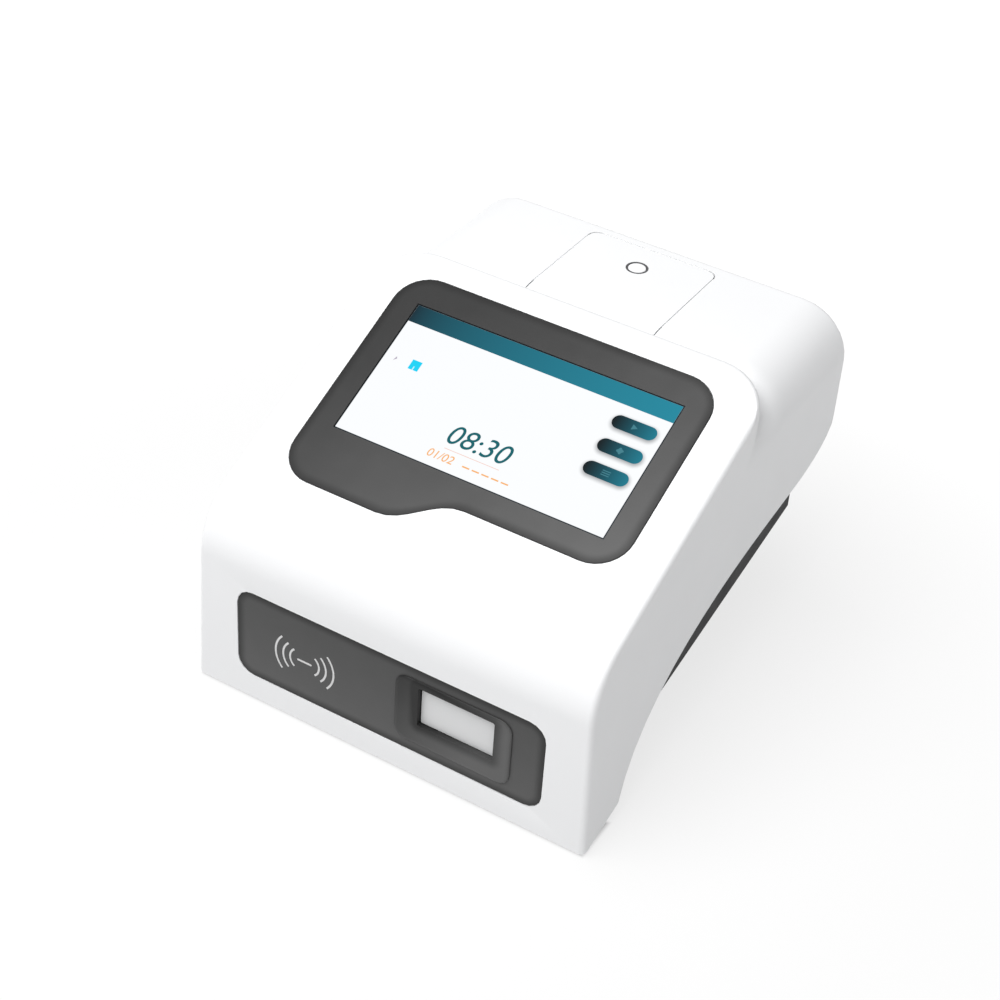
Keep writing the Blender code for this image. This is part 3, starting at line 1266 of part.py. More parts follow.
def make_bay():
    """Paper well with its round floor, low back wall, side flanges and the notch for the latch."""
    side = BAY_SIDE
    inner = BAY_INNER_WIDTH / 2
    radius = BAY_INNER_LENGTH / 2
    middle = BAY_LOW + BAY_WALL + radius
    outer = arc((ROLL_Y, middle), radius + BAY_WALL, 2 * QUARTER, 4 * QUARTER, 2 * SHOULDER_STEPS)
    outer += [(BAY_BACK, BAY_TOP), (BAY_FRONT, BAY_TOP)]
    bay = new_object("printer_bay", prism(outer, "X", -side, side), CHARCOAL)
    join(bay, box((-side - BAY_FLANGE, BAY_FRONT + GAP, BAY_TOP - BAY_FLANGE_SHEET),
                  (side + BAY_FLANGE, BAY_BACK - GAP, BAY_TOP - GAP / 2)))
    trough = arc((ROLL_Y, middle), radius, 2 * QUARTER, 4 * QUARTER, 2 * SHOULDER_STEPS)
    trough += [(ROLL_Y + radius, BAY_TOP + OVERCUT), (ROLL_Y - radius, BAY_TOP + OVERCUT)]
    cut(bay, prism(trough, "X", -inner, inner))
    cut(bay, box((-inner, ROLL_Y, HOOD_HEIGHT - BAY_REAR_DROP), (inner, BAY_BACK + OVERCUT, HOOD_HEIGHT)))
    cut(bay, box((-side - 2 * BAY_FLANGE, BUTTON_Y - LATCH_WIDTH / 2 - LATCH_REACH / 2, LATCH_LOW - GAP),
                 (-inner + GAP, BAY_BACK + OVERCUT, HOOD_HEIGHT)))


def make_paper():
    """Paper roll on its card core."""
    half = ROLL_WIDTH / 2
    centre = (ROLL_Y, ROLL_Z)
    roll = new_object("paper_roll", cylinder("X", centre, ROLL_RADIUS, -half, half), (0.93, 0.93, 0.91), 0.8)
    cut(roll, cylinder("X", centre, CORE_RADIUS + GAP, -2 * half, 2 * half))
    set_origin(roll, (0, *centre))
    core = new_object("paper_core", cylinder("X", centre, CORE_RADIUS, -half, half), (0.6, 0.5, 0.38), 0.8)
    cut(core, cylinder("X", centre, CORE_RADIUS - CORE_WALL, -2 * half, 2 * half))
    set_origin(core, (0, *centre))


def make_printer():
    """Platen on the lid, and the gears, motor, chassis and head that work on it."""
    centre = (PLATEN_Y, PLATEN_Z)
    half = PLATEN_WIDTH / 2
    platen = new_object("platen_roller", cylinder("X", centre, PLATEN_RADIUS, -half, half), BLACK, 0.8)
    join(platen, cylinder("X", centre, SHAFT_RADIUS, -CHASSIS_OUT, GEAR_IN + GEAR_WIDTH + GAP,
                          SMALL_ROUND_SIDES))
    set_origin(platen, (0, *centre))
    down = math.atan2(IDLER_Z - PLATEN_Z, IDLER_Y - PLATEN_Y)
    across = math.atan2(MOTOR_Z - IDLER_Z, MOTOR_Y - IDLER_Y)
    idler_turn = meshing_turn(down, PLATEN_PITCH, down, IDLER_PITCH, PRINTER_MODULE)
    motor_turn = meshing_turn(idler_turn, IDLER_PITCH, across, MOTOR_PITCH, PRINTER_MODULE)
    make_gear("platen_gear", PLATEN_TEETH, centre, down, SHAFT_RADIUS + GAP)
    make_gear("idler_gear", IDLER_TEETH, (IDLER_Y, IDLER_Z), idler_turn, AXLE_RADIUS + GAP)
    motor_place = (MOTOR_Y, MOTOR_Z)
    pinion = prism(gear_outline(MOTOR_TEETH, PRINTER_MODULE, motor_place, motor_turn), "X", GEAR_IN,
                   GEAR_IN + GEAR_WIDTH)
    pinion = new_object("motor_pinion", pinion, STEEL, 0.3, 1.0)
    join(pinion, cylinder("X", motor_place, AXLE_RADIUS, CHASSIS_IN - TRAY_SHAFT_DEPTH,
                          GEAR_IN + GEAR_WIDTH / 2, SMALL_ROUND_SIDES))
    set_origin(pinion, (GEAR_IN, *motor_place))
    end = CHASSIS_IN - GAP
    motor = cylinder("X", motor_place, PRINTER_MOTOR_RADIUS, end - PRINTER_MOTOR_LENGTH, end)
    motor = new_object("printer_motor", motor, STEEL, 0.35, 0.9)
    cut(motor, cylinder("X", motor_place, AXLE_RADIUS + GAP, end - TRAY_SHAFT_DEPTH, end + OVERCUT,
                        SMALL_ROUND_SIDES))


def make_gear(name, teeth, centre, turned, bore):
    outline = gear_outline(teeth, PRINTER_MODULE, centre, turned)
    gear = new_object(name, prism(outline, "X", GEAR_IN, GEAR_IN + GEAR_WIDTH), NYLON)
    cut(gear, cylinder("X", centre, bore, 0, 2 * GEAR_IN, SMALL_ROUND_SIDES))
    set_origin(gear, (GEAR_IN, *centre))


def make_chassis():
    """Sheet chassis: two side plates with open slots for the platen's shaft, a floor and two wings."""
    front = PLATEN_Y - CHASSIS_FRONT
    back = PLATEN_Y + CHASSIS_BACK
    low = HOOD_HEIGHT - CHASSIS_DEPTH
    top = HOOD_HEIGHT - CHASSIS_TOP_DROP
    far = 2 * CHASSIS_OUT
    chassis = new_object("printer_chassis", box((-CHASSIS_OUT, front, low), (CHASSIS_OUT, back, top)),
                         STEEL, 0.35, 0.9)
    cut(chassis, box((-CHASSIS_IN, front - OVERCUT, low + CHASSIS_SHEET),
                     (CHASSIS_IN, back + OVERCUT, top + OVERCUT)))
    room = SHAFT_RADIUS + GAP
    cut(chassis, cylinder("X", (PLATEN_Y, PLATEN_Z), room, -far, far, SMALL_ROUND_SIDES),
        box((-far, PLATEN_Y - room, PLATEN_Z), (far, PLATEN_Y + room, HOOD_HEIGHT)),
        cylinder("X", (MOTOR_Y, MOTOR_Z), 2 * AXLE_RADIUS, 0, far, SMALL_ROUND_SIDES))
    join(chassis, cylinder("X", (IDLER_Y, IDLER_Z), AXLE_RADIUS, CHASSIS_OUT - CHASSIS_SHEET / 2,
                           GEAR_IN + GEAR_WIDTH + GAP, SMALL_ROUND_SIDES))
    for sign in (-1, 1):
        start = (CHASSIS_OUT - CHASSIS_SHEET / 2, back - CHASSIS_WING_LENGTH, top - BAY_FLANGE_SHEET)
        join(chassis, mirrored_box(sign, start, (CHASSIS_OUT + CHASSIS_WING, back - GAP, top - GAP / 2)))


def make_head():
    """Print head behind the platen, and the toothed tear bar at the paper's exit."""
    half = CHASSIS_IN - GAP
    front = PLATEN_Y + PLATEN_RADIUS + GAP
    low = PLATEN_Z - HEAD_LOW
    head = box((-half, front, low), (half, front + HEAD_THICKNESS, low + HEAD_HEIGHT))
    new_object("print_head", head, (0.75, 0.72, 0.68), 0.4)
    back = PLATEN_Y + CHASSIS_BACK - TEAR_FROM_BACK
    top = HOOD_HEIGHT - CHASSIS_TOP_DROP
    outline = [(half, top - TEAR_HEIGHT), (half, top - TEAR_BITE)]
    step = 2 * half / TEAR_TEETH
    for i in range(TEAR_TEETH):
        outline.append((half - step * (i + 1 / 2), top))
        outline.append((half - step * (i + 1), top - TEAR_BITE))
    outline.append((-half, top - TEAR_HEIGHT))
    new_object("tear_bar", prism(outline, "Y", back - TEAR_SHEET, back), STEEL, 0.3, 1.0)


def make_rear_panel():
    """Plate over the tub's rear window, with openings for what passes through it and vents."""
    half = PANEL_WIDTH / 2
    plate = rounded_rect(-half, PANEL_LOW, half, PANEL_HIGH, PANEL_CORNER)
    panel = new_object("rear_panel", prism(plate, "Y", PANEL_FRONT, PANEL_BACK), CHARCOAL)
    for x, z, width, height in ((SWITCH_X, SWITCH_Z, SWITCH_WIDTH, SWITCH_HEIGHT),
                                (JACK_X, SOCKET_LOW + JACK_HEIGHT / 2, JACK_WIDTH, JACK_HEIGHT),
                                (USB_X, SOCKET_LOW + USB_HEIGHT / 2, USB_WIDTH, USB_HEIGHT),
                                (LAN_X, SOCKET_LOW + LAN_HEIGHT / 2, LAN_WIDTH, LAN_HEIGHT)):
        cut(panel, box((x - width / 2 - GAP, 0, z - height / 2 - GAP),
                       (x + width / 2 + GAP, BODY_DEPTH, z + height / 2 + GAP)))
    for i in range(VENTS):
        x = VENT_X + VENT_PITCH * (i - (VENTS - 1) / 2)
        cut(panel, box((x - VENT_WIDTH / 2, 0, VENT_Z - VENT_HEIGHT / 2),
                       (x + VENT_WIDTH / 2, BODY_DEPTH, VENT_Z + VENT_HEIGHT / 2)))


def socket(name, x, width, height, depth, colour, metallic):
    """A socket's block on the board, reaching through the panel."""
    return new_object(name, box((x - width / 2, SOCKET_FACE - depth, SOCKET_LOW),
                                (x + width / 2, SOCKET_FACE, SOCKET_LOW + height)), colour, 0.4, metallic)


def make_jack():
    jack = socket("dc_jack", JACK_X, JACK_WIDTH, JACK_HEIGHT, JACK_DEPTH, BLACK, 0.0)
    centre = (JACK_X, SOCKET_LOW + JACK_HEIGHT / 2)
    floor = SOCKET_FACE - JACK_BORE_DEPTH
    cut(jack, cylinder("Y", centre, JACK_BORE, floor, BODY_DEPTH))
    join(jack, cylinder("Y", centre, JACK_PIN, floor - GAP, SOCKET_FACE - GAP, SMALL_ROUND_SIDES))


def make_usb():
    usb = socket("usb_port", USB_X, USB_WIDTH, USB_HEIGHT, USB_DEPTH, STEEL, 1.0)
    half = USB_WIDTH / 2 - USB_WALL
    floor = SOCKET_FACE - USB_DEPTH + USB_WALL
    cut(usb, box((USB_X - half, floor, SOCKET_LOW + USB_WALL),
                 (USB_X + half, BODY_DEPTH, SOCKET_LOW + USB_HEIGHT - USB_WALL)))
    middle = SOCKET_LOW + USB_HEIGHT / 2
    join(usb, box((USB_X - USB_TONGUE_WIDTH / 2, floor - GAP, middle),
                  (USB_X + USB_TONGUE_WIDTH / 2, SOCKET_FACE - USB_WALL, middle + USB_TONGUE_SHEET)))


def make_lan():
    lan = socket("lan_port", LAN_X, LAN_WIDTH, LAN_HEIGHT, LAN_DEPTH, STEEL, 1.0)
    half = LAN_MOUTH_WIDTH / 2
    low = SOCKET_LOW + (LAN_HEIGHT - LAN_MOUTH_HEIGHT) / 2 - LAN_KEY_HEIGHT / 2
    high = low + LAN_MOUTH_HEIGHT
    key = LAN_KEY_WIDTH / 2
    mouth = [(LAN_X - half, low), (LAN_X + half, low), (LAN_X + half, high), (LAN_X + key, high),
             (LAN_X + key, high + LAN_KEY_HEIGHT), (LAN_X - key, high + LAN_KEY_HEIGHT),
             (LAN_X - key, high), (LAN_X - half, high)]
    cut(lan, prism(mouth, "Y", SOCKET_FACE - LAN_MOUTH_DEPTH, BODY_DEPTH))


def make_switch():
    """Power switch: a housing snapped into the panel, and a rocker on its trunnions."""
    half_width = SWITCH_WIDTH / 2
    half_height = SWITCH_HEIGHT / 2
    rim = SWITCH_RIM
    wall = SWITCH_WALL
    pivot = (PANEL_BACK, SWITCH_Z)
    outline = rounded_rect(SWITCH_X - half_width - rim, SWITCH_Z - half_height - rim,
                           SWITCH_X + half_width + rim, SWITCH_Z + half_height + rim, rim / 2)
    housing = new_object("switch_housing", prism(outline, "Y", PANEL_BACK + GAP, PANEL_BACK + GAP + rim), BLACK)
    join(housing, box((SWITCH_X - half_width, PANEL_BACK - SWITCH_DEPTH, SWITCH_Z - half_height),
                      (SWITCH_X + half_width, PANEL_BACK + 2 * GAP, SWITCH_Z + half_height)))
    cut(housing, box((SWITCH_X - half_width + wall, PANEL_BACK - SWITCH_DEPTH + wall,
                      SWITCH_Z - half_height + wall),
                     (SWITCH_X + half_width - wall, BODY_DEPTH, SWITCH_Z + half_height - wall)),
        cylinder("X", pivot, TRUNNION_RADIUS + GAP, SWITCH_X - half_width - GAP, SWITCH_X + half_width + GAP,
                 SMALL_ROUND_SIDES))
    reach = half_height - wall - ROCKER_ROOM
    side = half_width - wall - ROCKER_ROOM
    lift = rim + ROCKER_DISH
    tip = math.sqrt(reach ** 2 - lift ** 2)
    heel = math.sqrt(reach ** 2 - ROCKER_BACK ** 2)
    profile = [(lift, -tip), (lift - ROCKER_DISH, 0), (lift, tip), (-ROCKER_BACK, heel), (-ROCKER_BACK, -heel)]
    rocker = prism(profile, "X", -side, side)
    bmesh.ops.transform(rocker, matrix=Matrix.Rotation(-SWITCH_TILT, 4, "X"), verts=rocker.verts)
    bmesh.ops.translate(rocker, vec=(SWITCH_X, *pivot), verts=rocker.verts)
    rocker = new_object("power_switch", rocker, BLACK, 0.4)
    join(rocker, cylinder("X", pivot, TRUNNION_RADIUS, SWITCH_X - half_width, SWITCH_X + half_width,
                          SMALL_ROUND_SIDES))
    set_origin(rocker, (SWITCH_X, *pivot))


def build():
    for leftover in list(bpy.data.objects):
        bpy.data.objects.remove(leftover)
    make_cover()
    make_base()
    make_feet()
    make_screws()
    make_screen()
    make_fascia()
    make_surround()
    make_reader()
    make_tray()
    make_rails()
    make_tray_drive()
    make_mech_frame()
    make_heater()
    make_optics()
    make_main_board()
    make_speaker()
    make_lid()
    make_hinge_pin()
    make_button()
    make_latch()
    make_bay()
    make_paper()
    make_printer()
    make_chassis()
    make_head()
    make_rear_panel()
    make_jack()
    make_usb()
    make_lan()
    make_switch()
    centre()


def centre():
    """Hangs every piece under one empty that moves the outline's middle to the origin."""
    root = bpy.data.objects.new("analyzer", None)
    for obj in bpy.data.objects:
        obj.parent = root if obj != root else None
    bpy.context.collection.objects.link(root)
    root.location = (0, -(BODY_DEPTH - SURROUND_PROUD) / 2, 0)


build()
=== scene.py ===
"""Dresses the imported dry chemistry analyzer: materials, display, printed mark, light and camera."""

import json
import math

import bmesh
import bpy
from mathutils import Matrix, Vector

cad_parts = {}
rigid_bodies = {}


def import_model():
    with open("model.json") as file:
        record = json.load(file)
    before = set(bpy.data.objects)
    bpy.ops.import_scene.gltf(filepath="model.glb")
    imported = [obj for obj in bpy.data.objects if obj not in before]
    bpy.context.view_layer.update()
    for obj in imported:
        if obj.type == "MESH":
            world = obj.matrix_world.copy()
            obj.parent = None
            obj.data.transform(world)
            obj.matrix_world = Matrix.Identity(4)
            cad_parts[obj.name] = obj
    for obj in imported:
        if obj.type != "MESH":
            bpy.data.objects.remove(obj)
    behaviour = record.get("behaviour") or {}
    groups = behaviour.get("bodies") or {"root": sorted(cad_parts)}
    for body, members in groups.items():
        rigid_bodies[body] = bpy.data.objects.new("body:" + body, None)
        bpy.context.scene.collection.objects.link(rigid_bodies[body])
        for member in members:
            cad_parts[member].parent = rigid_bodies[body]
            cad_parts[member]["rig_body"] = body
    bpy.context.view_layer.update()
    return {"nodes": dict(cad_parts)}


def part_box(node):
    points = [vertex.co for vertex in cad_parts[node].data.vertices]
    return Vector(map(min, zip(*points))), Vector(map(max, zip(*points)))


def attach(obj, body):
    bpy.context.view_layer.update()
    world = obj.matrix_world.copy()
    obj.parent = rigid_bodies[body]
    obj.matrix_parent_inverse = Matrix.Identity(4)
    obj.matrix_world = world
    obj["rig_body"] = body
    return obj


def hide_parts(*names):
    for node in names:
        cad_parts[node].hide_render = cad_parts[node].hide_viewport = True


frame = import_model()
nodes = frame["nodes"]

# Directions
ACROSS = (1.0, 0.0, 0.0)
INWARD = (0.0, 1.0, 0.0)
UPWARD = (0.0, 0.0, 1.0)

# Places repeated from the CAD model, in metres; the slope starts where its plane meets the front face
FRONT_Y = -0.1289
KNEE_HEIGHT = 0.1079
SLOPE_ANGLE = math.radians(24.4)
SLOPE_START = (0.0, FRONT_Y, KNEE_HEIGHT)
SLOPE_WAY = (0.0, math.cos(SLOPE_ANGLE), math.sin(SLOPE_ANGLE))
SLOPE_PLACE = Matrix.Translation(SLOPE_START) @ Matrix.Rotation(SLOPE_ANGLE, 4, "X")
PANE_LEFT = -0.0767
PANE_RIGHT = 0.0767
PANE_LOW = 0.0706
PANE_HIGH = 0.1520
PANE_FACE = -0.0001
FASCIA_FACE = FRONT_Y + 0.0002

# Thickness of one printed or lit layer over the surface that carries it
INK = 0.00003

# The photograph's camera, solved from the outline
CAMERA_PLACE = (0.42099, -0.78528, 0.76240)
CAMERA_FORWARD = (-0.38679, 0.69526, -0.60581)
CAMERA_UP = (-0.35621, 0.49331, 0.79358)
CAMERA_LENS = 77.85
CAMERA_SENSOR = 36.0

# Studio: the surroundings' strength where the camera doesn't see them, and one soft light
WORLD_STRENGTH = 0.20
KEY_PLACE = (-0.30, -0.70, 1.98)
KEY_TARGET = (0.0, 0.0, 0.08)
KEY_SIZE = 2.0
KEY_POWER = 62.5

# Floor: it glows a little as painted light that washes out the cast shadow, less in the gap under the
# front edge, which stays as a painted contact shadow, and more far away
FLOOR_HALF = 8.0
FLOOR_GREY = (0.18, 0.18, 0.18)
FLOOR_SHADOW_FILL = 0.77
GAP_DEPTH = 0.0300
GAP_EDGE = 0.006
FAR_PAINTED_LIGHT = 0.17
FAR_START = 0.14
FAR_END = 0.80

# Cleaning and shading of the CAD meshes
SMOOTH_ANGLE = math.radians(32)
FLAT_ANGLE = math.radians(0.4)
MERGE = 0.000002
EDGE_SEGMENTS = 2

# Sockets of a colour mix
MIX_FACTOR = 0
MIX_A = 6
MIX_B = 7
MIX_RESULT = 2

# The part of a noise's range that its pattern is taken from
DRIFT_BAND = (0.3, 0.7)
SHEEN_BAND = (0.25, 0.75)
STREAK_BAND = (0.2, 0.8)
FULL_BAND = (0.0, 1.0)

# Waves per metre of the patterns in the materials
DRIFT_SCALE = 9.0
SHEEN_SCALE = 60.0
CHARCOAL_DRIFT = 14.0
CHARCOAL_SHEEN = 70.0
CHARCOAL_GRAIN = 2800.0
METAL_DRIFT = 30.0
FIBRE_SCALE = 900.0
ROLL_SCALE = 60.0
TRACK_SCALE = 160.0
BOARD_SHEEN = 80.0
INK_DRIFT = 700.0
INK_GRAIN = 2400.0
PIXEL_SCALE = 3000.0
FLOOR_DRIFT = 2.0

# How many sizes of waves a noise pattern adds up
PIXEL_DETAIL = 1.0
FINE_DETAIL = 2.0
SHEEN_DETAIL = 4.0
FIBRE_DETAIL = 6.0

# Depth of the fine relief, in metres
CHARCOAL_DEPTH = 0.000006
CARD_DEPTH = 0.00004
PAPER_DEPTH = 0.00003
TRACK_DEPTH = 0.00003
INK_DEPTH = 0.000008

# How far a roughness wanders to each side, for plastics and for metals
SMOOTHER = 0.88
ROUGHER = 1.12
METAL_SMOOTHER = 0.75
METAL_ROUGHER = 1.35

# Roughness and gloss of single finishes
COAT_ROUGHNESS = 0.08
BEZEL_ROUGHNESS = 0.42
FASCIA_ROUGHNESS = 0.5
SURROUND_ROUGHNESS = (0.42, 0.54)
PAPER_ROUGHNESS = 0.85
BOARD_ROUGHNESS = (0.28, 0.4)
INK_ROUGHNESS = 0.5
GLASS_ROUGHNESS = 0.3
GLASS_GLOSS = 0.04
CHARCOAL_GLOSS = 0.2

# How far a colour drifts to each side, or between two ends
METAL_VARIETY = 0.06
INK_VARIETY = 0.05
FLOOR_VARIETY = 0.004
CHARCOAL_VARIETY = 0.04
CARD_ENDS = (0.94, 1.03)
PAPER_ENDS = (0.95, 1.02)
PAPER_BAND = (0.1, 0.45)
PIXEL_SHADE = 0.985
PIXEL_VARIETY = 0.01

# Charcoal pieces: a soft rim of painted shade, and painted shading that grows paler along the face
RIM_WIDTH = 0.0055
RIM_SHADE = 0.62

# Screen frame, across and up the slope, with the tab at its lower left
BEZEL_HALF = 0.0911
BEZEL_LOW = 0.0556
BEZEL_HIGH = 0.1694
BEZEL_CORNER = 0.019
TAB_END = -0.0311
TAB_RUN = 0.040
TAB_DROP = 0.0185
# Painted reflection: the frame's tone runs from dark at its upper left to pale at its lower right
BEZEL_PAINTED_REFLECTION_TONES = (0.022, 0.092)
BEZEL_FADE_WAY = (0.686, -0.663, -0.301)
BEZEL_FADE_START = (-0.084, 0.0168, 0.1740)
BEZEL_FADE_LENGTH = 0.188
BEZEL_FADE_CURVE = 1.8

# Front panel
FASCIA_CORNER = 0.0095
# Painted shading: the panel's tone is darker at the top and paler downwards
FASCIA_PAINTED_SHADING_TONES = (0.068, 0.096)

# Raised pad round the card slot
SURROUND_CORNER = 0.007
# Painted shading: the pad's tone runs from dark at its upper left to pale, with painted shade round the
# slot and in its rim
SURROUND_PAINTED_SHADING_TONES = (0.020, 0.110)
SURROUND_FADE_WAY = (0.78, 0.0, -0.62)
SURROUND_FADE_LENGTH = 0.055
SURROUND_RIM = 0.0015
SURROUND_RIM_SHADE = 0.25
SLOT_X = 0.0408
SLOT_Z = 0.0488
SLOT_HALF_WIDTH = 0.0214
SLOT_HALF_HEIGHT = 0.0121
SLOT_CORNER = 0.001
SLOT_SHADE = 0.62
SLOT_SHADE_WIDTH = 0.0065

# Pale lip under the lid's seam
SEAM_LIP_DROP = 0.0004
SEAM_LIP_HEIGHT = 0.0008
SEAM_LIP_CLEAR = 0.00015
SEAM_LIP_REACH = 0.0008
SEAM_LIP_START = 0.0150
LID_CORNER = 0.0050

# Display: places across and up the slope
PANE_BORDER = 0.0004
HEADER_LOW = 0.1412
HEADER_INSET = PANE_BORDER * 3 / 4
HEADER_CURVE = 0.6
PILLS = ((0.0604, 0.1313), (0.0604, 0.1167), (0.0603, 0.1027))
PILL_HALF = 0.0121
PILL_RADIUS = 0.0039
PILL_CURVE = 1.3
PILL_SHADOW = 0.0024
PILL_SHADOW_RIGHT = PILL_SHADOW / 8
PILL_SHADOW_DOWN = PILL_SHADOW / 3
PILL_SHADOW_LIGHT = 0.45
PILL_SHADOW_START = PILL_RADIUS * 0.7
ARROW_BACK = 0.0012
ARROW_TIP = 0.0018
ARROW_HALF = 0.0016
TEETH = (0.0019, 0.0019, 0.0014, 0.0014) * 4
LIST_PITCH = 0.0012
LIST_HALF_LENGTH = 0.0022
LIST_HALF_WIDTH = 0.00025
CLOCK_SIZE = 0.0158
CLOCK_PLACE = (-0.0046, 0.0908)
CLOCK_SLANT = 0.18
CLOCK_LINE = (-0.0192, 0.0826, 0.0121, 0.0829)
DATE_SIZE = 0.0066
DATE_PLACE = (-0.0185, 0.0776)
DATE_SLANT = 0.12
DASHES = 5
DASH_START = -0.0056
DASH_PITCH = 0.0055
DASH_LENGTH = 0.0041
DASH_LOW = 0.0768
DASH_HIGH = 0.0776
STATUS_MARK = (-0.0612, 0.1158, -0.0556, 0.1216)
STATUS_NOTCH = (-0.0588, 0.1158, -0.0582, 0.1180)
STATUS_SMALL = ((-0.0708, 0.1170), (-0.0692, 0.1187), (-0.0700, 0.1199))

# Contactless reader mark: how far each stroke reaches out and up from the mark's middle
MARK_CENTRE = (-0.0486, 0.0418)
MARK_STROKES = ((0.0176, 0.0104), (0.0130, 0.0078), (0.0088, 0.0055))
MARK_BULGE = 0.0040
MARK_BULGE_STEP = 0.0007
MARK_HALF_WIDTH = 0.00055
MARK_BAR_HALF = 0.0044
MARK_BAR_RADIUS = 0.0006

# Colours
PITCH_BLACK = (0.0, 0.0, 0.0)
PURE_WHITE = (1.0, 1.0, 1.0)
WHITE = (0.82, 0.825, 0.835)
BUTTON_WHITE = (0.84, 0.845, 0.855)
TRAY_GREY = (0.67, 0.675, 0.68)
RING_GREY = (0.10, 0.10, 0.105)
PANEL_GREY = (0.055, 0.055, 0.057)
INNER_BLACK = (0.035, 0.035, 0.037)
ROLLER_BLACK = (0.025, 0.025, 0.026)
BLACK = (0.016, 0.016, 0.017)
NYLON = (0.78, 0.76, 0.68)
STEEL = (0.56, 0.56, 0.58)
ZINC = (0.58, 0.59, 0.60)
ALUMINIUM = (0.68, 0.69, 0.70)
BRASS = (0.68, 0.50, 0.22)
NICKEL = (0.62, 0.61, 0.58)
SCREW_ZINC = (0.50, 0.51, 0.53)
PAPER = (0.90, 0.90, 0.88)
CARD = (0.48, 0.36, 0.24)
DISPLAY_WHITE = (0.97, 0.985, 1.0)
DISPLAY_EDGE = (0.0, 0.01, 0.02)
TEAL_DARK = (0.002, 0.006, 0.008)
TEAL = (0.010, 0.200, 0.280)
HEADER_LEFT = (0.008, 0.022, 0.034)
HEADER_RIGHT = (0.014, 0.250, 0.350)
GLYPH_TEAL = (0.055, 0.22, 0.27)
CLOCK_TEAL = (0.004, 0.125, 0.150)
LINE_PINK = (0.90, 0.55, 0.46)
DATE_AMBER = (0.95, 0.46, 0.16)
STATUS_CYAN = (0.010, 0.66, 0.93)
NOTCH_BLUE = (0.6, 0.9, 1.0)
STATUS_GREY = (0.50, 0.45, 0.55)
MARK_GREY = (0.62, 0.62, 0.62)
SOLDER_MASK = (0.012, 0.115, 0.045, 1)
SOLDER_MASK_PALE = (0.016, 0.150, 0.060, 1)
TRACK_GREEN = (0.030, 0.230, 0.100, 1)


class Look:
    """One material's node tree, built with short calls."""

    def __init__(self, name):
        self.material = bpy.data.materials.new(name)
        self.material.use_nodes = True
        self.tree = self.material.node_tree
        self.shader = self.tree.nodes["Principled BSDF"]
        self.coords = None

    def add(self, kind, **inputs):
        """A new node, with its inputs named by words joined with underscores."""
        node = self.tree.nodes.new(kind)
        for key, value in inputs.items():
            self.feed(node.inputs[key.replace("_", " ")], value)
        return node

    def feed(self, socket, value):
        """Links an output to a socket, or sets the socket's own value."""
        if isinstance(value, bpy.types.NodeSocket):
            self.tree.links.new(value, socket)
        else:
            socket.default_value = value

    def place(self):
        """The place of a point on the object, in metres."""
        if self.coords is None:
            self.coords = self.add("ShaderNodeTexCoord").outputs["Object"]
        return self.coords

    def scaled(self, scale):
        """The place, stretched by its own scale in each direction."""
        node = self.add("ShaderNodeMapping", Vector=self.place())
        node.inputs["Scale"].default_value = scale
        return node.outputs["Vector"]

    def along(self, direction, start=(0.0, 0.0, 0.0)):
        """Distance of a point from a start along one direction."""
        offset = self.add("ShaderNodeVectorMath")
        offset.operation = "SUBTRACT"
        self.feed(offset.inputs[0], self.place())
        offset.inputs[1].default_value = start
        dot = self.add("ShaderNodeVectorMath")
        dot.operation = "DOT_PRODUCT"
        self.feed(dot.inputs[0], offset.outputs[0])
        dot.inputs[1].default_value = direction
        return dot.outputs["Value"]

    def noise(self, scale, detail=3.0, vector=None, roughness=0.55):
        """Noise with a number of waves per metre."""
        node = self.add("ShaderNodeTexNoise", Vector=vector or self.place(), Scale=scale,
                        Detail=detail, Roughness=roughness)
        return node.outputs["Fac"]

    def math(self, operation, a, b=0.0):
        """The result of one sum on numbers or outputs."""
        node = self.add("ShaderNodeMath")
        node.operation = operation
        self.feed(node.inputs[0], a)
        self.feed(node.inputs[1], b)
        return node.outputs[0]

    def span(self, value, low, high, to_low=0.0, to_high=1.0, smooth=False):
        """A value carried over from one range to another, and held at its ends."""
        node = self.add("ShaderNodeMapRange", Value=value, From_Min=low, From_Max=high,
                        To_Min=to_low, To_Max=to_high)
        if smooth:
            node.interpolation_type = "SMOOTHSTEP"
        return node.outputs["Result"]

    def mix(self, factor, a, b):
        """A colour between two colours or outputs."""
        node = self.add("ShaderNodeMix")
        node.data_type = "RGBA"
        self.feed(node.inputs[MIX_FACTOR], factor)
        for socket, colour in ((MIX_A, a), (MIX_B, b)):
            self.feed(node.inputs[socket], (*colour, 1) if isinstance(colour, tuple) else colour)
        return node.outputs[MIX_RESULT]

    def outside(self, across, up, left, right, low, high, radius):
        """Distance of a point outside a rounded outline, negative inside it."""
        side = self.math("ADD", self.past(across, left, right), radius)
        rise = self.math("ADD", self.past(up, low, high), radius)
        far_side = self.math("MAXIMUM", side, 0.0)
        far_rise = self.math("MAXIMUM", rise, 0.0)
        corner = self.length(far_side, far_rise)
        near = self.math("MINIMUM", self.math("MAXIMUM", side, rise), 0.0)
        return self.math("SUBTRACT", self.math("ADD", corner, near), radius)

    def past(self, value, low, high):
        """How far a value lies outside a range, negative inside it."""
        return self.math("MAXIMUM", self.math("SUBTRACT", low, value), self.math("SUBTRACT", value, high))

    def length(self, a, b):
        """Length of a line that goes one distance across and another up."""
        squares = self.math("ADD", self.math("MULTIPLY", a, a), self.math("MULTIPLY", b, b))
        return self.math("SQRT", squares)

    def bump(self, height, distance):
        """The surface's direction, with a fine relief on it."""
        return self.add("ShaderNodeBump", Height=height, Distance=distance).outputs["Normal"]

    def set(self, **inputs):
        """Sets or links inputs of the material's shader."""
        for key, value in inputs.items():
            if isinstance(value, tuple) and len(value) == 3:
                value = (*value, 1)
            self.feed(self.shader.inputs[key.replace("_", " ")], value)


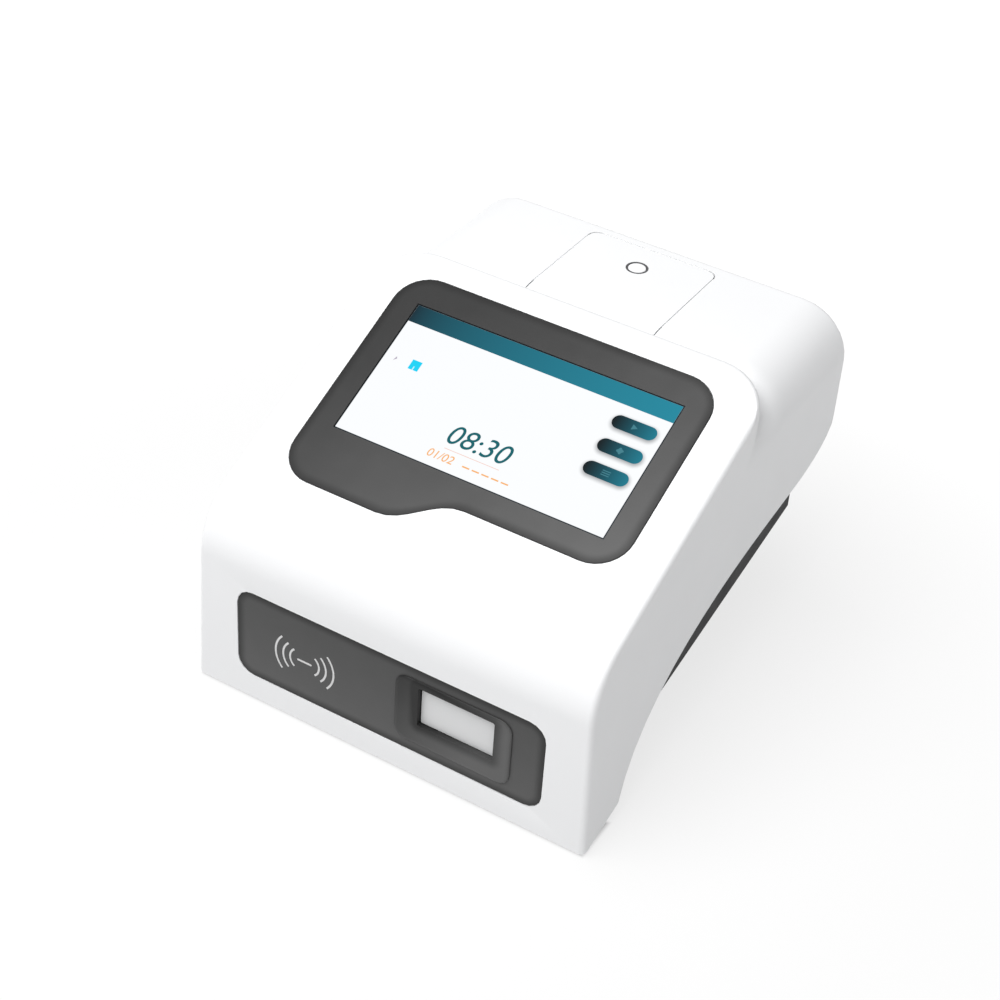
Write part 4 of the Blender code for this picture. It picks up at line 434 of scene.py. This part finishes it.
def shade(colour, factor):
    """A colour made darker or paler."""
    return tuple(min(1.0, c * factor) for c in colour)


def grey(tone):
    """A grey of one tone."""
    return (tone, tone, tone)


def varied(look, colour, variety, scale):
    """The colour with a slow, faint drift."""
    drift = look.span(look.noise(scale, FINE_DETAIL), *DRIFT_BAND)
    return look.mix(drift, shade(colour, 1 - variety), shade(colour, 1 + variety))


def uneven(look, low, high, scale):
    """A roughness that wanders between two values."""
    return look.span(look.noise(scale, SHEEN_DETAIL), *SHEEN_BAND, low, high)


def plastic(name, colour, roughness, grain=2600.0, depth=0.00001, variety=0.03, coat=0.0, gloss=0.5):
    """Moulded plastic: fine spark-eroded grain, slow colour drift and uneven sheen."""
    look = Look(name)
    look.set(Base_Color=varied(look, colour, variety, DRIFT_SCALE),
             Roughness=uneven(look, roughness * SMOOTHER, roughness * ROUGHER, SHEEN_SCALE),
             Normal=look.bump(look.noise(grain, FINE_DETAIL), depth),
             Specular_IOR_Level=gloss)
    if coat:
        look.set(Coat_Weight=coat, Coat_Roughness=COAT_ROUGHNESS)
    return look.material


def metal(name, colour, roughness, stretch=(40.0, 900.0, 900.0), depth=0.000004):
    """Metal with drawn or brushed streaks along its long way."""
    look = Look(name)
    streak = look.noise(1.0, SHEEN_DETAIL, look.scaled(stretch))
    sheen = look.span(streak, *STREAK_BAND, roughness * METAL_SMOOTHER, roughness * METAL_ROUGHER)
    look.set(Base_Color=varied(look, colour, METAL_VARIETY, METAL_DRIFT),
             Metallic=1.0,
             Roughness=sheen,
             Normal=look.bump(streak, depth))
    return look.material


def fibres(name, colour):
    """Card: matted fibres in several sizes."""
    look = Look(name)
    mat = look.noise(FIBRE_SCALE, FIBRE_DETAIL, roughness=0.7)
    dark, pale = (shade(colour, end) for end in CARD_ENDS)
    look.set(Base_Color=look.mix(look.span(mat, *DRIFT_BAND), dark, pale),
             Roughness=PAPER_ROUGHNESS,
             Normal=look.bump(mat, CARD_DEPTH))
    return look.material


def winding(name, colour, pitch=0.00025):
    """A paper roll: fine rings round its axis, which show at its ends, and matted fibres."""
    look = Look(name)
    layers = look.noise(1.0, FINE_DETAIL, look.scaled((0.5 / pitch, ROLL_SCALE, ROLL_SCALE)))
    mat = look.noise(FIBRE_SCALE, FIBRE_DETAIL)
    tone = look.span(look.math("MULTIPLY", mat, layers), *PAPER_BAND)
    dark, pale = (shade(colour, end) for end in PAPER_ENDS)
    look.set(Base_Color=look.mix(tone, dark, pale),
             Roughness=PAPER_ROUGHNESS,
             Normal=look.bump(mat, PAPER_DEPTH))
    return look.material


def circuit_board(name):
    """Solder mask with paler tracks under it and a slight gloss."""
    look = Look(name)
    tracks = look.add("ShaderNodeTexBrick", Vector=look.place(), Scale=TRACK_SCALE, Color1=SOLDER_MASK,
                      Color2=SOLDER_MASK_PALE, Mortar=TRACK_GREEN, Mortar_Size=0.03)
    look.set(Base_Color=tracks.outputs["Color"],
             Roughness=look.span(look.noise(BOARD_SHEEN), *DRIFT_BAND, *BOARD_ROUGHNESS),
             Normal=look.bump(tracks.outputs["Fac"], TRACK_DEPTH))
    return look.material


def printed(name, colour):
    """Screen-printed ink of slightly uneven cover."""
    look = Look(name)
    look.set(Base_Color=varied(look, colour, INK_VARIETY, INK_DRIFT),
             Roughness=INK_ROUGHNESS,
             Normal=look.bump(look.noise(INK_GRAIN, FINE_DETAIL), INK_DEPTH))
    return look.material


def charcoal_with_painted_shade(look, tones, share, distance, roughness):
    """Semi-gloss charcoal with painted shading that grows paler along its face and painted shade that
    darkens its soft rim.
    """
    drift = look.noise(CHARCOAL_DRIFT, FINE_DETAIL)
    drift = look.span(drift, *DRIFT_BAND, -CHARCOAL_VARIETY, CHARCOAL_VARIETY)
    dark, pale = tones
    face = look.mix(look.math("ADD", share, drift), grey(dark), grey(pale))
    # Painted shade: darker in a soft band just inside the outline
    rim = look.span(distance, -RIM_WIDTH, 0.0, 0.0, RIM_SHADE, True)
    look.set(Base_Color=look.mix(rim, face, PITCH_BLACK),
             Roughness=uneven(look, roughness * SMOOTHER, roughness * ROUGHER, CHARCOAL_SHEEN),
             Normal=look.bump(look.noise(CHARCOAL_GRAIN, FINE_DETAIL), CHARCOAL_DEPTH),
             Specular_IOR_Level=CHARCOAL_GLOSS)
    return look.material


def bezel_plastic(name):
    """The screen's charcoal frame, with the tab at its lower left."""
    look = Look(name)
    across = look.along(ACROSS)
    up = look.along(SLOPE_WAY, SLOPE_START)
    low = look.span(across, TAB_END, TAB_END + TAB_RUN, BEZEL_LOW - TAB_DROP, BEZEL_LOW, True)
    distance = look.outside(across, up, -BEZEL_HALF, BEZEL_HALF, low, BEZEL_HIGH, BEZEL_CORNER)
    # Painted reflection: the frame grows paler towards its lower right
    fade = look.span(look.along(BEZEL_FADE_WAY, BEZEL_FADE_START), 0.0, BEZEL_FADE_LENGTH)
    share = look.math("POWER", fade, BEZEL_FADE_CURVE)
    return charcoal_with_painted_shade(look, BEZEL_PAINTED_REFLECTION_TONES, share, distance, BEZEL_ROUGHNESS)


def fascia_plastic(name):
    """The front panel's charcoal, with painted shade in its rim and painted shading that grows paler
    downwards.
    """
    look = Look(name)
    lowest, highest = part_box("front_fascia")
    across = look.along(ACROSS)
    up = look.along(UPWARD)
    distance = look.outside(across, up, lowest.x, highest.x, lowest.z, highest.z, FASCIA_CORNER)
    # Painted shading: darker at the top, paler downwards
    share = look.span(up, highest.z, lowest.z)
    return charcoal_with_painted_shade(look, FASCIA_PAINTED_SHADING_TONES, share, distance, FASCIA_ROUGHNESS)


def surround_plastic(name):
    """The raised pad round the slot: painted shade in a soft rim outside and round the slot, and painted
    shading that grows darker towards the slot's upper left.
    """
    look = Look(name)
    lowest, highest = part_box("slot_surround")
    across = look.along(ACROSS)
    up = look.along(UPWARD)
    distance = look.outside(across, up, lowest.x, highest.x, lowest.z, highest.z, SURROUND_CORNER)
    from_slot = look.outside(across, up, SLOT_X - SLOT_HALF_WIDTH, SLOT_X + SLOT_HALF_WIDTH,
                             SLOT_Z - SLOT_HALF_HEIGHT, SLOT_Z + SLOT_HALF_HEIGHT, SLOT_CORNER)
    # Painted shade round the slot, darkest at its edge
    painted_slot_shade = look.span(from_slot, 0.0, SLOT_SHADE_WIDTH, SLOT_SHADE, 0.0, True)
    upper_left = (lowest.x, 0.0, highest.z)
    # Painted shading: paler away from the pad's upper left
    share = look.span(look.along(SURROUND_FADE_WAY, upper_left), 0.0, SURROUND_FADE_LENGTH)
    dark, pale = SURROUND_PAINTED_SHADING_TONES
    face = look.mix(look.math("SUBTRACT", share, painted_slot_shade), grey(dark), grey(pale))
    # Painted shade in the pad's soft rim
    rim = look.span(distance, -SURROUND_RIM, 0.0, 0.0, SURROUND_RIM_SHADE, True)
    look.set(Base_Color=look.mix(rim, face, PITCH_BLACK),
             Roughness=uneven(look, *SURROUND_ROUGHNESS, CHARCOAL_SHEEN),
             Normal=look.bump(look.noise(CHARCOAL_GRAIN, FINE_DETAIL), CHARCOAL_DEPTH),
             Specular_IOR_Level=CHARCOAL_GLOSS)
    return look.material


def glow(look, colour):
    """Makes a look shine with a colour under glossy glass."""
    look.set(Base_Color=PITCH_BLACK,
             Roughness=GLASS_ROUGHNESS,
             Specular_IOR_Level=GLASS_GLOSS,
             Emission_Color=colour,
             Emission_Strength=1.0)
    return look.material


def lit(name, colour):
    """A lit part of the display."""
    look = Look(name)
    return glow(look, look.mix(look.noise(PIXEL_SCALE, PIXEL_DETAIL), shade(colour, PIXEL_SHADE), colour))


def lit_gradient(name, left, right, start, length, curve):
    """A lit shape whose colour runs from left to right."""
    look = Look(name)
    share = look.math("POWER", look.span(look.along(ACROSS, (start, 0.0, 0.0)), 0.0, length), curve)
    grain = look.span(look.noise(PIXEL_SCALE, PIXEL_DETAIL), *FULL_BAND, -PIXEL_VARIETY, PIXEL_VARIETY)
    return glow(look, look.mix(look.math("ADD", share, grain), left, right))


def pill_shadow(look, across, up, x, s):
    """The light left round a button of the page, after its soft shadow below and to the right."""
    side = look.math("ABSOLUTE", look.math("SUBTRACT", across, x + PILL_SHADOW_RIGHT))
    side = look.math("MAXIMUM", look.math("SUBTRACT", side, PILL_HALF - PILL_RADIUS), 0.0)
    rise = look.math("SUBTRACT", up, s - PILL_SHADOW_DOWN)
    gap = look.length(side, rise)
    return look.span(gap, PILL_SHADOW_START, PILL_RADIUS + PILL_SHADOW, PILL_SHADOW_LIGHT, 1.0, True)


def display_glass(name):
    """The lit white page, with a dark border and a soft shadow round each button that is drawn on it."""
    look = Look(name)
    across = look.along(ACROSS)
    up = look.along(SLOPE_WAY, SLOPE_START)
    light = look.span(look.noise(PIXEL_SCALE, PIXEL_DETAIL), *FULL_BAND, PIXEL_SHADE, 1.0)
    for x, s in PILLS:
        light = look.math("MULTIPLY", light, pill_shadow(look, across, up, x, s))
    edge = look.outside(across, up, PANE_LEFT, PANE_RIGHT, PANE_LOW, PANE_HIGH, 0.0)
    light = look.math("MULTIPLY", light, look.span(edge, -PANE_BORDER, -PANE_BORDER / 2, 1.0, 0.0))
    return glow(look, look.mix(light, DISPLAY_EDGE, DISPLAY_WHITE))


MATERIALS = {
    "cover": plastic("satin_white", WHITE, 0.42, grain=2400.0, depth=0.000008, variety=0.008),
    "button": plastic("button_white", BUTTON_WHITE, 0.38, grain=2400.0, depth=0.000008, variety=0.01),
    "ring": plastic("ring_grey", RING_GREY, 0.4),
    "tub": plastic("tub_black", BLACK, 0.62, grain=1300.0, depth=0.00003, variety=0.08, gloss=0.15),
    "rubber": plastic("foot_rubber", grey(0.018), 0.9, grain=1500.0, depth=0.00004, variety=0.1),
    "bezel": bezel_plastic("bezel_charcoal"),
    "fascia": fascia_plastic("fascia_charcoal"),
    "surround": surround_plastic("surround_charcoal"),
    "tray": plastic("tray_grey", TRAY_GREY, 0.42, grain=2400.0, depth=0.000008, variety=0.02),
    "glass": display_glass("display_page"),
    "dark": plastic("inner_black", INNER_BLACK, 0.6, grain=1800.0, depth=0.00002, variety=0.06),
    "panel": plastic("panel_charcoal", PANEL_GREY, 0.5, grain=1600.0, depth=0.00002, variety=0.05),
    "switch": plastic("switch_black", BLACK, 0.3, depth=0.000005, variety=0.05, coat=0.3),
    "nylon": plastic("gear_nylon", NYLON, 0.5, grain=1500.0),
    "steel": metal("shaft_steel", STEEL, 0.28),
    "zinc": metal("zinc_sheet", ZINC, 0.42, stretch=(60.0, 700.0, 700.0), depth=0.000006),
    "aluminium": metal("milled_aluminium", ALUMINIUM, 0.36, stretch=(300.0, 80.0, 300.0), depth=0.000005),
    "brass": metal("pinion_brass", BRASS, 0.3, stretch=(300.0, 300.0, 300.0)),
    "nickel": metal("nickel_shell", NICKEL, 0.25, stretch=(200.0, 60.0, 600.0)),
    "screw": metal("screw_zinc", SCREW_ZINC, 0.32, stretch=(500.0, 500.0, 500.0), depth=0.00001),
    "platen": plastic("platen_rubber", ROLLER_BLACK, 0.75, grain=1800.0, depth=0.00002, variety=0.08),
    "board": circuit_board("board_green"),
    "paper": winding("paper_white", PAPER),
    "card": fibres("core_card", CARD),
}

# Which finish each CAD node gets, and how far its hard edges are broken
FINISHES = {
    "cover": (("upper_cover", 0.0), ("printer_lid", 0.0)),
    "button": (("lid_button", 0.00025),),
    "ring": (("button_ring", 0.00012),),
    "tub": (("base_tray", 0.0),),
    "rubber": tuple((f"rubber_foot_{i}", 0.0004) for i in (1, 2, 3, 4)),
    "bezel": (("screen_bezel", 0.00025),),
    "fascia": (("front_fascia", 0.0003),),
    "surround": (("slot_surround", 0.0002),),
    "tray": (("card_tray", 0.0002),),
    "glass": (("touch_glass", 0.0),),
    "dark": (("optical_head", 0.0003), ("speaker", 0.0003), ("printer_bay", 0.0)),
    "panel": (("rear_panel", 0.0),),
    "switch": (("switch_housing", 0.0002), ("power_switch", 0.0003), ("dc_jack", 0.0002)),
    "nylon": (("tray_pinion", 0.0), ("platen_gear", 0.0), ("idler_gear", 0.0)),
    "steel": (("hinge_pin", 0.0002), ("latch_bar", 0.0002), ("tray_rail_left", 0.0003),
              ("tray_rail_right", 0.0003), ("tray_motor", 0.0003), ("printer_motor", 0.0003),
              ("tear_bar", 0.0)),
    "zinc": (("printer_chassis", 0.0), ("lcd_panel", 0.0003), ("lcd_bracket", 0.0), ("mech_frame", 0.0)),
    "aluminium": (("heater_block", 0.0003), ("print_head", 0.0003)),
    "brass": (("motor_pinion", 0.0),),
    "nickel": (("usb_port", 0.0), ("lan_port", 0.0)),
    "screw": tuple((f"cover_screw_{end}_{i}", 0.0002) for end in ("front", "rear") for i in (1, 2)),
    "platen": (("platen_roller", 0.0003),),
    "board": (("main_board", 0.0), ("reader_board", 0.0)),
    "paper": (("paper_roll", 0.0003),),
    "card": (("paper_core", 0.0002),),
}


def finished_mesh(bm, name, material):
    """Turns an edited mesh into a stored one with its material."""
    mesh = bpy.data.meshes.new(name)
    bm.to_mesh(mesh)
    bm.free()
    mesh.materials.append(material)
    return mesh


def link(name, mesh, body):
    """Adds a finished mesh as a piece that rides on a body."""
    piece = bpy.data.objects.new(name, mesh)
    bpy.context.scene.collection.objects.link(piece)
    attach(piece, body)
    return piece


def skin(node, material, edge):
    """A smooth-shaded copy of a CAD node with its hard edges slightly broken."""
    source = nodes[node]
    bm = bmesh.new()
    bm.from_mesh(source.data)
    bmesh.ops.remove_doubles(bm, verts=bm.verts, dist=MERGE)
    bmesh.ops.dissolve_limit(bm, angle_limit=FLAT_ANGLE, verts=bm.verts, edges=bm.edges)
    mesh = finished_mesh(bm, f"{node}_skin", material)
    mesh.shade_smooth()
    mesh.set_sharp_from_angle(angle=SMOOTH_ANGLE)
    piece = link(f"{node}_skin", mesh, source["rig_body"])
    if edge:
        bevel = piece.modifiers.new("edges", "BEVEL")
        bevel.width = edge
        bevel.segments = EDGE_SEGMENTS
        bevel.limit_method = "ANGLE"
        bevel.angle_limit = SMOOTH_ANGLE
    weighted = piece.modifiers.new("normals", "WEIGHTED_NORMAL")
    weighted.keep_sharp = True
    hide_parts(node)


def on_slope(x, s, height):
    """World place of a point across, up and out of the slope."""
    return SLOPE_PLACE @ Vector((x, s, height))


def on_fascia(x, z, height):
    """World place of a point across, up and out of the front panel."""
    return (x, FASCIA_FACE - height, z)


def on_level(x, y, height):
    """World place of a point above a level plane."""
    return (x, y, height)


def slab(name, outline, low, high, place, material, body):
    """A thin plate between two heights of a surface, from its outline on that surface."""
    bm = bmesh.new()
    floor = [bm.verts.new(place(a, b, low)) for a, b in outline]
    roof = [bm.verts.new(place(a, b, high)) for a, b in outline]
    bm.faces.new(roof)
    bm.faces.new(floor)
    for i in range(len(outline)):
        j = (i + 1) % len(outline)
        bm.faces.new((floor[i], floor[j], roof[j], roof[i]))
    bmesh.ops.recalc_face_normals(bm, faces=bm.faces)
    link(name, finished_mesh(bm, name, material), body)


def capsule(x, y, half, radius, steps=12):
    """Outline of a bar with round ends."""
    points = []
    for centre, start in ((x + half - radius, -math.pi / 2), (x - half + radius, math.pi / 2)):
        for i in range(steps + 1):
            angle = start + math.pi * i / steps
            points.append((centre + radius * math.cos(angle), y + radius * math.sin(angle)))
    return points


def rectangle(x0, y0, x1, y1):
    """Outline of a rectangle between two corners."""
    return [(x0, y0), (x1, y0), (x1, y1), (x0, y1)]


def on_pane(name, outline, level, material):
    """A shape of the display's page, one or more layers above the pane."""
    slab(name, outline, PANE_FACE - INK, PANE_FACE + INK * level, on_slope, material,
         "housing")


def figures(name, words, size, place, slant, material, level=2):
    """Plain figures of the clock or date, as flat solid shapes on the pane."""
    curve = bpy.data.curves.new(name, "FONT")
    curve.body = words
    curve.size = size
    curve.shear = slant
    curve.align_x = "CENTER"
    curve.align_y = "CENTER"
    curve.extrude = INK * level / 2
    helper = bpy.data.objects.new(name + "_text", curve)
    bpy.context.scene.collection.objects.link(helper)
    depsgraph = bpy.context.evaluated_depsgraph_get()
    mesh = bpy.data.meshes.new_from_object(helper.evaluated_get(depsgraph))
    bpy.data.objects.remove(helper)
    mesh.transform(SLOPE_PLACE @ Matrix.Translation((*place, PANE_FACE + INK * level / 2)))
    mesh.materials.clear()
    mesh.materials.append(material)
    link(name, mesh, "housing")


def make_header():
    """The bar along the page's top."""
    width = PANE_RIGHT - PANE_LEFT
    teal = lit_gradient("page_header", HEADER_LEFT, HEADER_RIGHT, PANE_LEFT, width, HEADER_CURVE)
    right = PANE_RIGHT - HEADER_INSET
    outline = rectangle(PANE_LEFT + HEADER_INSET, HEADER_LOW, right, PANE_HIGH - HEADER_INSET)
    on_pane("header_bar", outline, 1, teal)


def make_buttons():
    """Three buttons of the page, with an arrow, a toothed disc and a list on them."""
    teal = lit_gradient("page_pill", TEAL_DARK, TEAL, PILLS[0][0] - PILL_HALF, 2 * PILL_HALF, PILL_CURVE)
    glyph = lit("page_glyph", GLYPH_TEAL)
    for i, (x, s) in enumerate(PILLS):
        on_pane(f"pill_{i + 1}", capsule(x, s, PILL_HALF, PILL_RADIUS), 1, teal)
    x, s = PILLS[0]
    arrow = [(x - ARROW_BACK, s - ARROW_HALF), (x + ARROW_TIP, s), (x - ARROW_BACK, s + ARROW_HALF)]
    on_pane("glyph_start", arrow, 2, glyph)
    x, s = PILLS[1]
    turns = [math.pi * i / 8 for i in range(len(TEETH))]
    teeth = [(x + r * math.cos(turn), s + r * math.sin(turn)) for r, turn in zip(TEETH, turns)]
    on_pane("glyph_settings", teeth, 2, glyph)
    x, s = PILLS[2]
    left = x - LIST_HALF_LENGTH
    right = x + LIST_HALF_LENGTH
    for i in (-1, 0, 1):
        middle = s + LIST_PITCH * i
        line = rectangle(left, middle - LIST_HALF_WIDTH, right, middle + LIST_HALF_WIDTH)
        on_pane(f"glyph_list_{i + 2}", line, 2, glyph)


def make_clock():
    """The clock over a thin line, and the date with a row of dashes beside it."""
    figures("clock_figures", "08:30", CLOCK_SIZE, CLOCK_PLACE, CLOCK_SLANT, lit("page_clock", CLOCK_TEAL))
    on_pane("clock_line", rectangle(*CLOCK_LINE), 1, lit("page_line", LINE_PINK))
    amber = lit("page_date", DATE_AMBER)
    figures("date_figures", "01/02", DATE_SIZE, DATE_PLACE, DATE_SLANT, amber)
    for i in range(DASHES):
        start = DASH_START + DASH_PITCH * i
        on_pane(f"date_dash_{i + 1}", rectangle(start, DASH_LOW, start + DASH_LENGTH, DASH_HIGH), 1, amber)


def make_status():
    """Small status marks at the page's upper left."""
    on_pane("status_mark", rectangle(*STATUS_MARK), 1, lit("page_cyan", STATUS_CYAN))
    on_pane("status_notch", rectangle(*STATUS_NOTCH), 2, lit("page_notch", NOTCH_BLUE))
    on_pane("status_small", STATUS_SMALL, 1, lit("page_grey", STATUS_GREY))


def wave(reach, radius, sweep, side, steps=14):
    """Outline of one curved stroke of the contactless mark, open towards the middle."""
    middle = MARK_CENTRE[0] + side * (reach - radius)
    outer = []
    inner = []
    for i in range(steps + 1):
        angle = sweep * (2 * i / steps - 1)
        for points, r in ((outer, radius + MARK_HALF_WIDTH), (inner, radius - MARK_HALF_WIDTH)):
            points.append((middle + side * r * math.cos(angle), MARK_CENTRE[1] + r * math.sin(angle)))
    return outer + inner[::-1]


def make_reader_mark():
    """Three curved strokes on each side of a short bar, printed on the front panel."""
    ink = printed("mark_ink", MARK_GREY)
    for side, word in ((-1, "left"), (1, "right")):
        for i, (reach, rise) in enumerate(MARK_STROKES):
            bulge = MARK_BULGE - MARK_BULGE_STEP * i
            radius = (rise * rise + bulge * bulge) / (2 * bulge)
            outline = wave(reach, radius, math.asin(rise / radius), side)
            slab(f"mark_{word}_{i + 1}", outline, -INK, INK, on_fascia, ink, "housing")
    bar = capsule(*MARK_CENTRE, MARK_BAR_HALF, MARK_BAR_RADIUS)
    slab("mark_bar", bar, -INK, INK, on_fascia, ink, "housing")


def make_seam_lip():
    """Pale lip of the housing just under the seam, which the lid closes on at both sides and the back."""
    lowest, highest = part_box("printer_lid")
    roof = highest.z - SEAM_LIP_DROP
    half = highest.x
    outer = half + SEAM_LIP_REACH
    inner = half + SEAM_LIP_CLEAR
    front = lowest.y + SEAM_LIP_START
    end = highest.y - LID_CORNER
    back_inner = highest.y + SEAM_LIP_CLEAR
    back_outer = highest.y + SEAM_LIP_REACH
    strips = {
        "left": (-outer, front, -inner, end),
        "right": (inner, front, outer, end),
        "back": (LID_CORNER - half, back_inner, half - LID_CORNER, back_outer),
    }
    for side, corners in strips.items():
        slab(f"seam_lip_{side}", rectangle(*corners), roof - SEAM_LIP_HEIGHT, roof, on_level,
             MATERIALS["cover"], "housing")


def make_floor():
    """Pale floor that throws little shade, because a painted glow washes it out, but lies dark in the gap
    under the analyzer's front edge as a painted contact shadow.
    """
    look = Look("pale_floor")
    lowest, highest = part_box("upper_cover")
    distance = look.outside(look.along(ACROSS), look.along(INWARD), lowest.x, highest.x,
                            lowest.y, lowest.y + GAP_DEPTH, 0.0)
    # Painted light fills the cast shadow, except in the gap under the front edge, which is left as a
    # painted contact shadow
    near = look.span(distance, -GAP_EDGE, 0.0, 0.0, FLOOR_SHADOW_FILL, True)
    # More painted light far away
    far = look.span(distance, FAR_START, FAR_END, 0.0, FAR_PAINTED_LIGHT, True)
    look.set(Base_Color=varied(look, FLOOR_GREY, FLOOR_VARIETY, FLOOR_DRIFT),
             Roughness=1.0,
             Specular_IOR_Level=0.0,
             Emission_Color=PURE_WHITE,
             Emission_Strength=look.math("ADD", near, far))
    bm = bmesh.new()
    bmesh.ops.create_grid(bm, x_segments=1, y_segments=1, size=FLOOR_HALF)
    floor = bpy.data.objects.new("floor", finished_mesh(bm, "floor", look.material))
    bpy.context.scene.collection.objects.link(floor)


def make_light():
    """One large soft light over the analyzer's front left."""
    light = bpy.data.lights.new("key", "AREA")
    light.shape = "SQUARE"
    light.size = KEY_SIZE
    light.energy = KEY_POWER
    lamp = bpy.data.objects.new("key", light)
    lamp.location = KEY_PLACE
    lamp.rotation_euler = (Vector(KEY_TARGET) - Vector(KEY_PLACE)).to_track_quat("-Z", "Y").to_euler()
    bpy.context.scene.collection.objects.link(lamp)


def make_world():
    """Even surroundings: white where the camera sees them, and dimmer as a light."""
    world = bpy.data.worlds.new("studio")
    world.use_nodes = True
    tree = world.node_tree
    background = tree.nodes["Background"]
    background.inputs["Color"].default_value = (*PURE_WHITE, 1)
    seen = tree.nodes.new("ShaderNodeLightPath").outputs["Is Camera Ray"]
    strength = tree.nodes.new("ShaderNodeMapRange")
    strength.inputs["To Min"].default_value = WORLD_STRENGTH
    tree.links.new(seen, strength.inputs["Value"])
    tree.links.new(strength.outputs["Result"], background.inputs["Strength"])
    bpy.context.scene.world = world
    bpy.context.scene.view_settings.view_transform = "Standard"


def make_camera():
    """The camera at the photograph's place and angle."""
    data = bpy.data.cameras.new("camera")
    data.lens = CAMERA_LENS
    data.sensor_width = CAMERA_SENSOR
    camera = bpy.data.objects.new("camera", data)
    forward = Vector(CAMERA_FORWARD).normalized()
    right = forward.cross(Vector(CAMERA_UP)).normalized()
    up = right.cross(forward)
    turn = Matrix((right, up, -forward)).transposed()
    camera.matrix_world = Matrix.Translation(CAMERA_PLACE) @ turn.to_4x4()
    bpy.context.scene.collection.objects.link(camera)
    bpy.context.scene.camera = camera


for finish, members in FINISHES.items():
    for node, edge in members:
        skin(node, MATERIALS[finish], edge)
make_header()
make_buttons()
make_clock()
make_status()
make_reader_mark()
make_seam_lip()
make_floor()
make_world()
make_light()
make_camera()
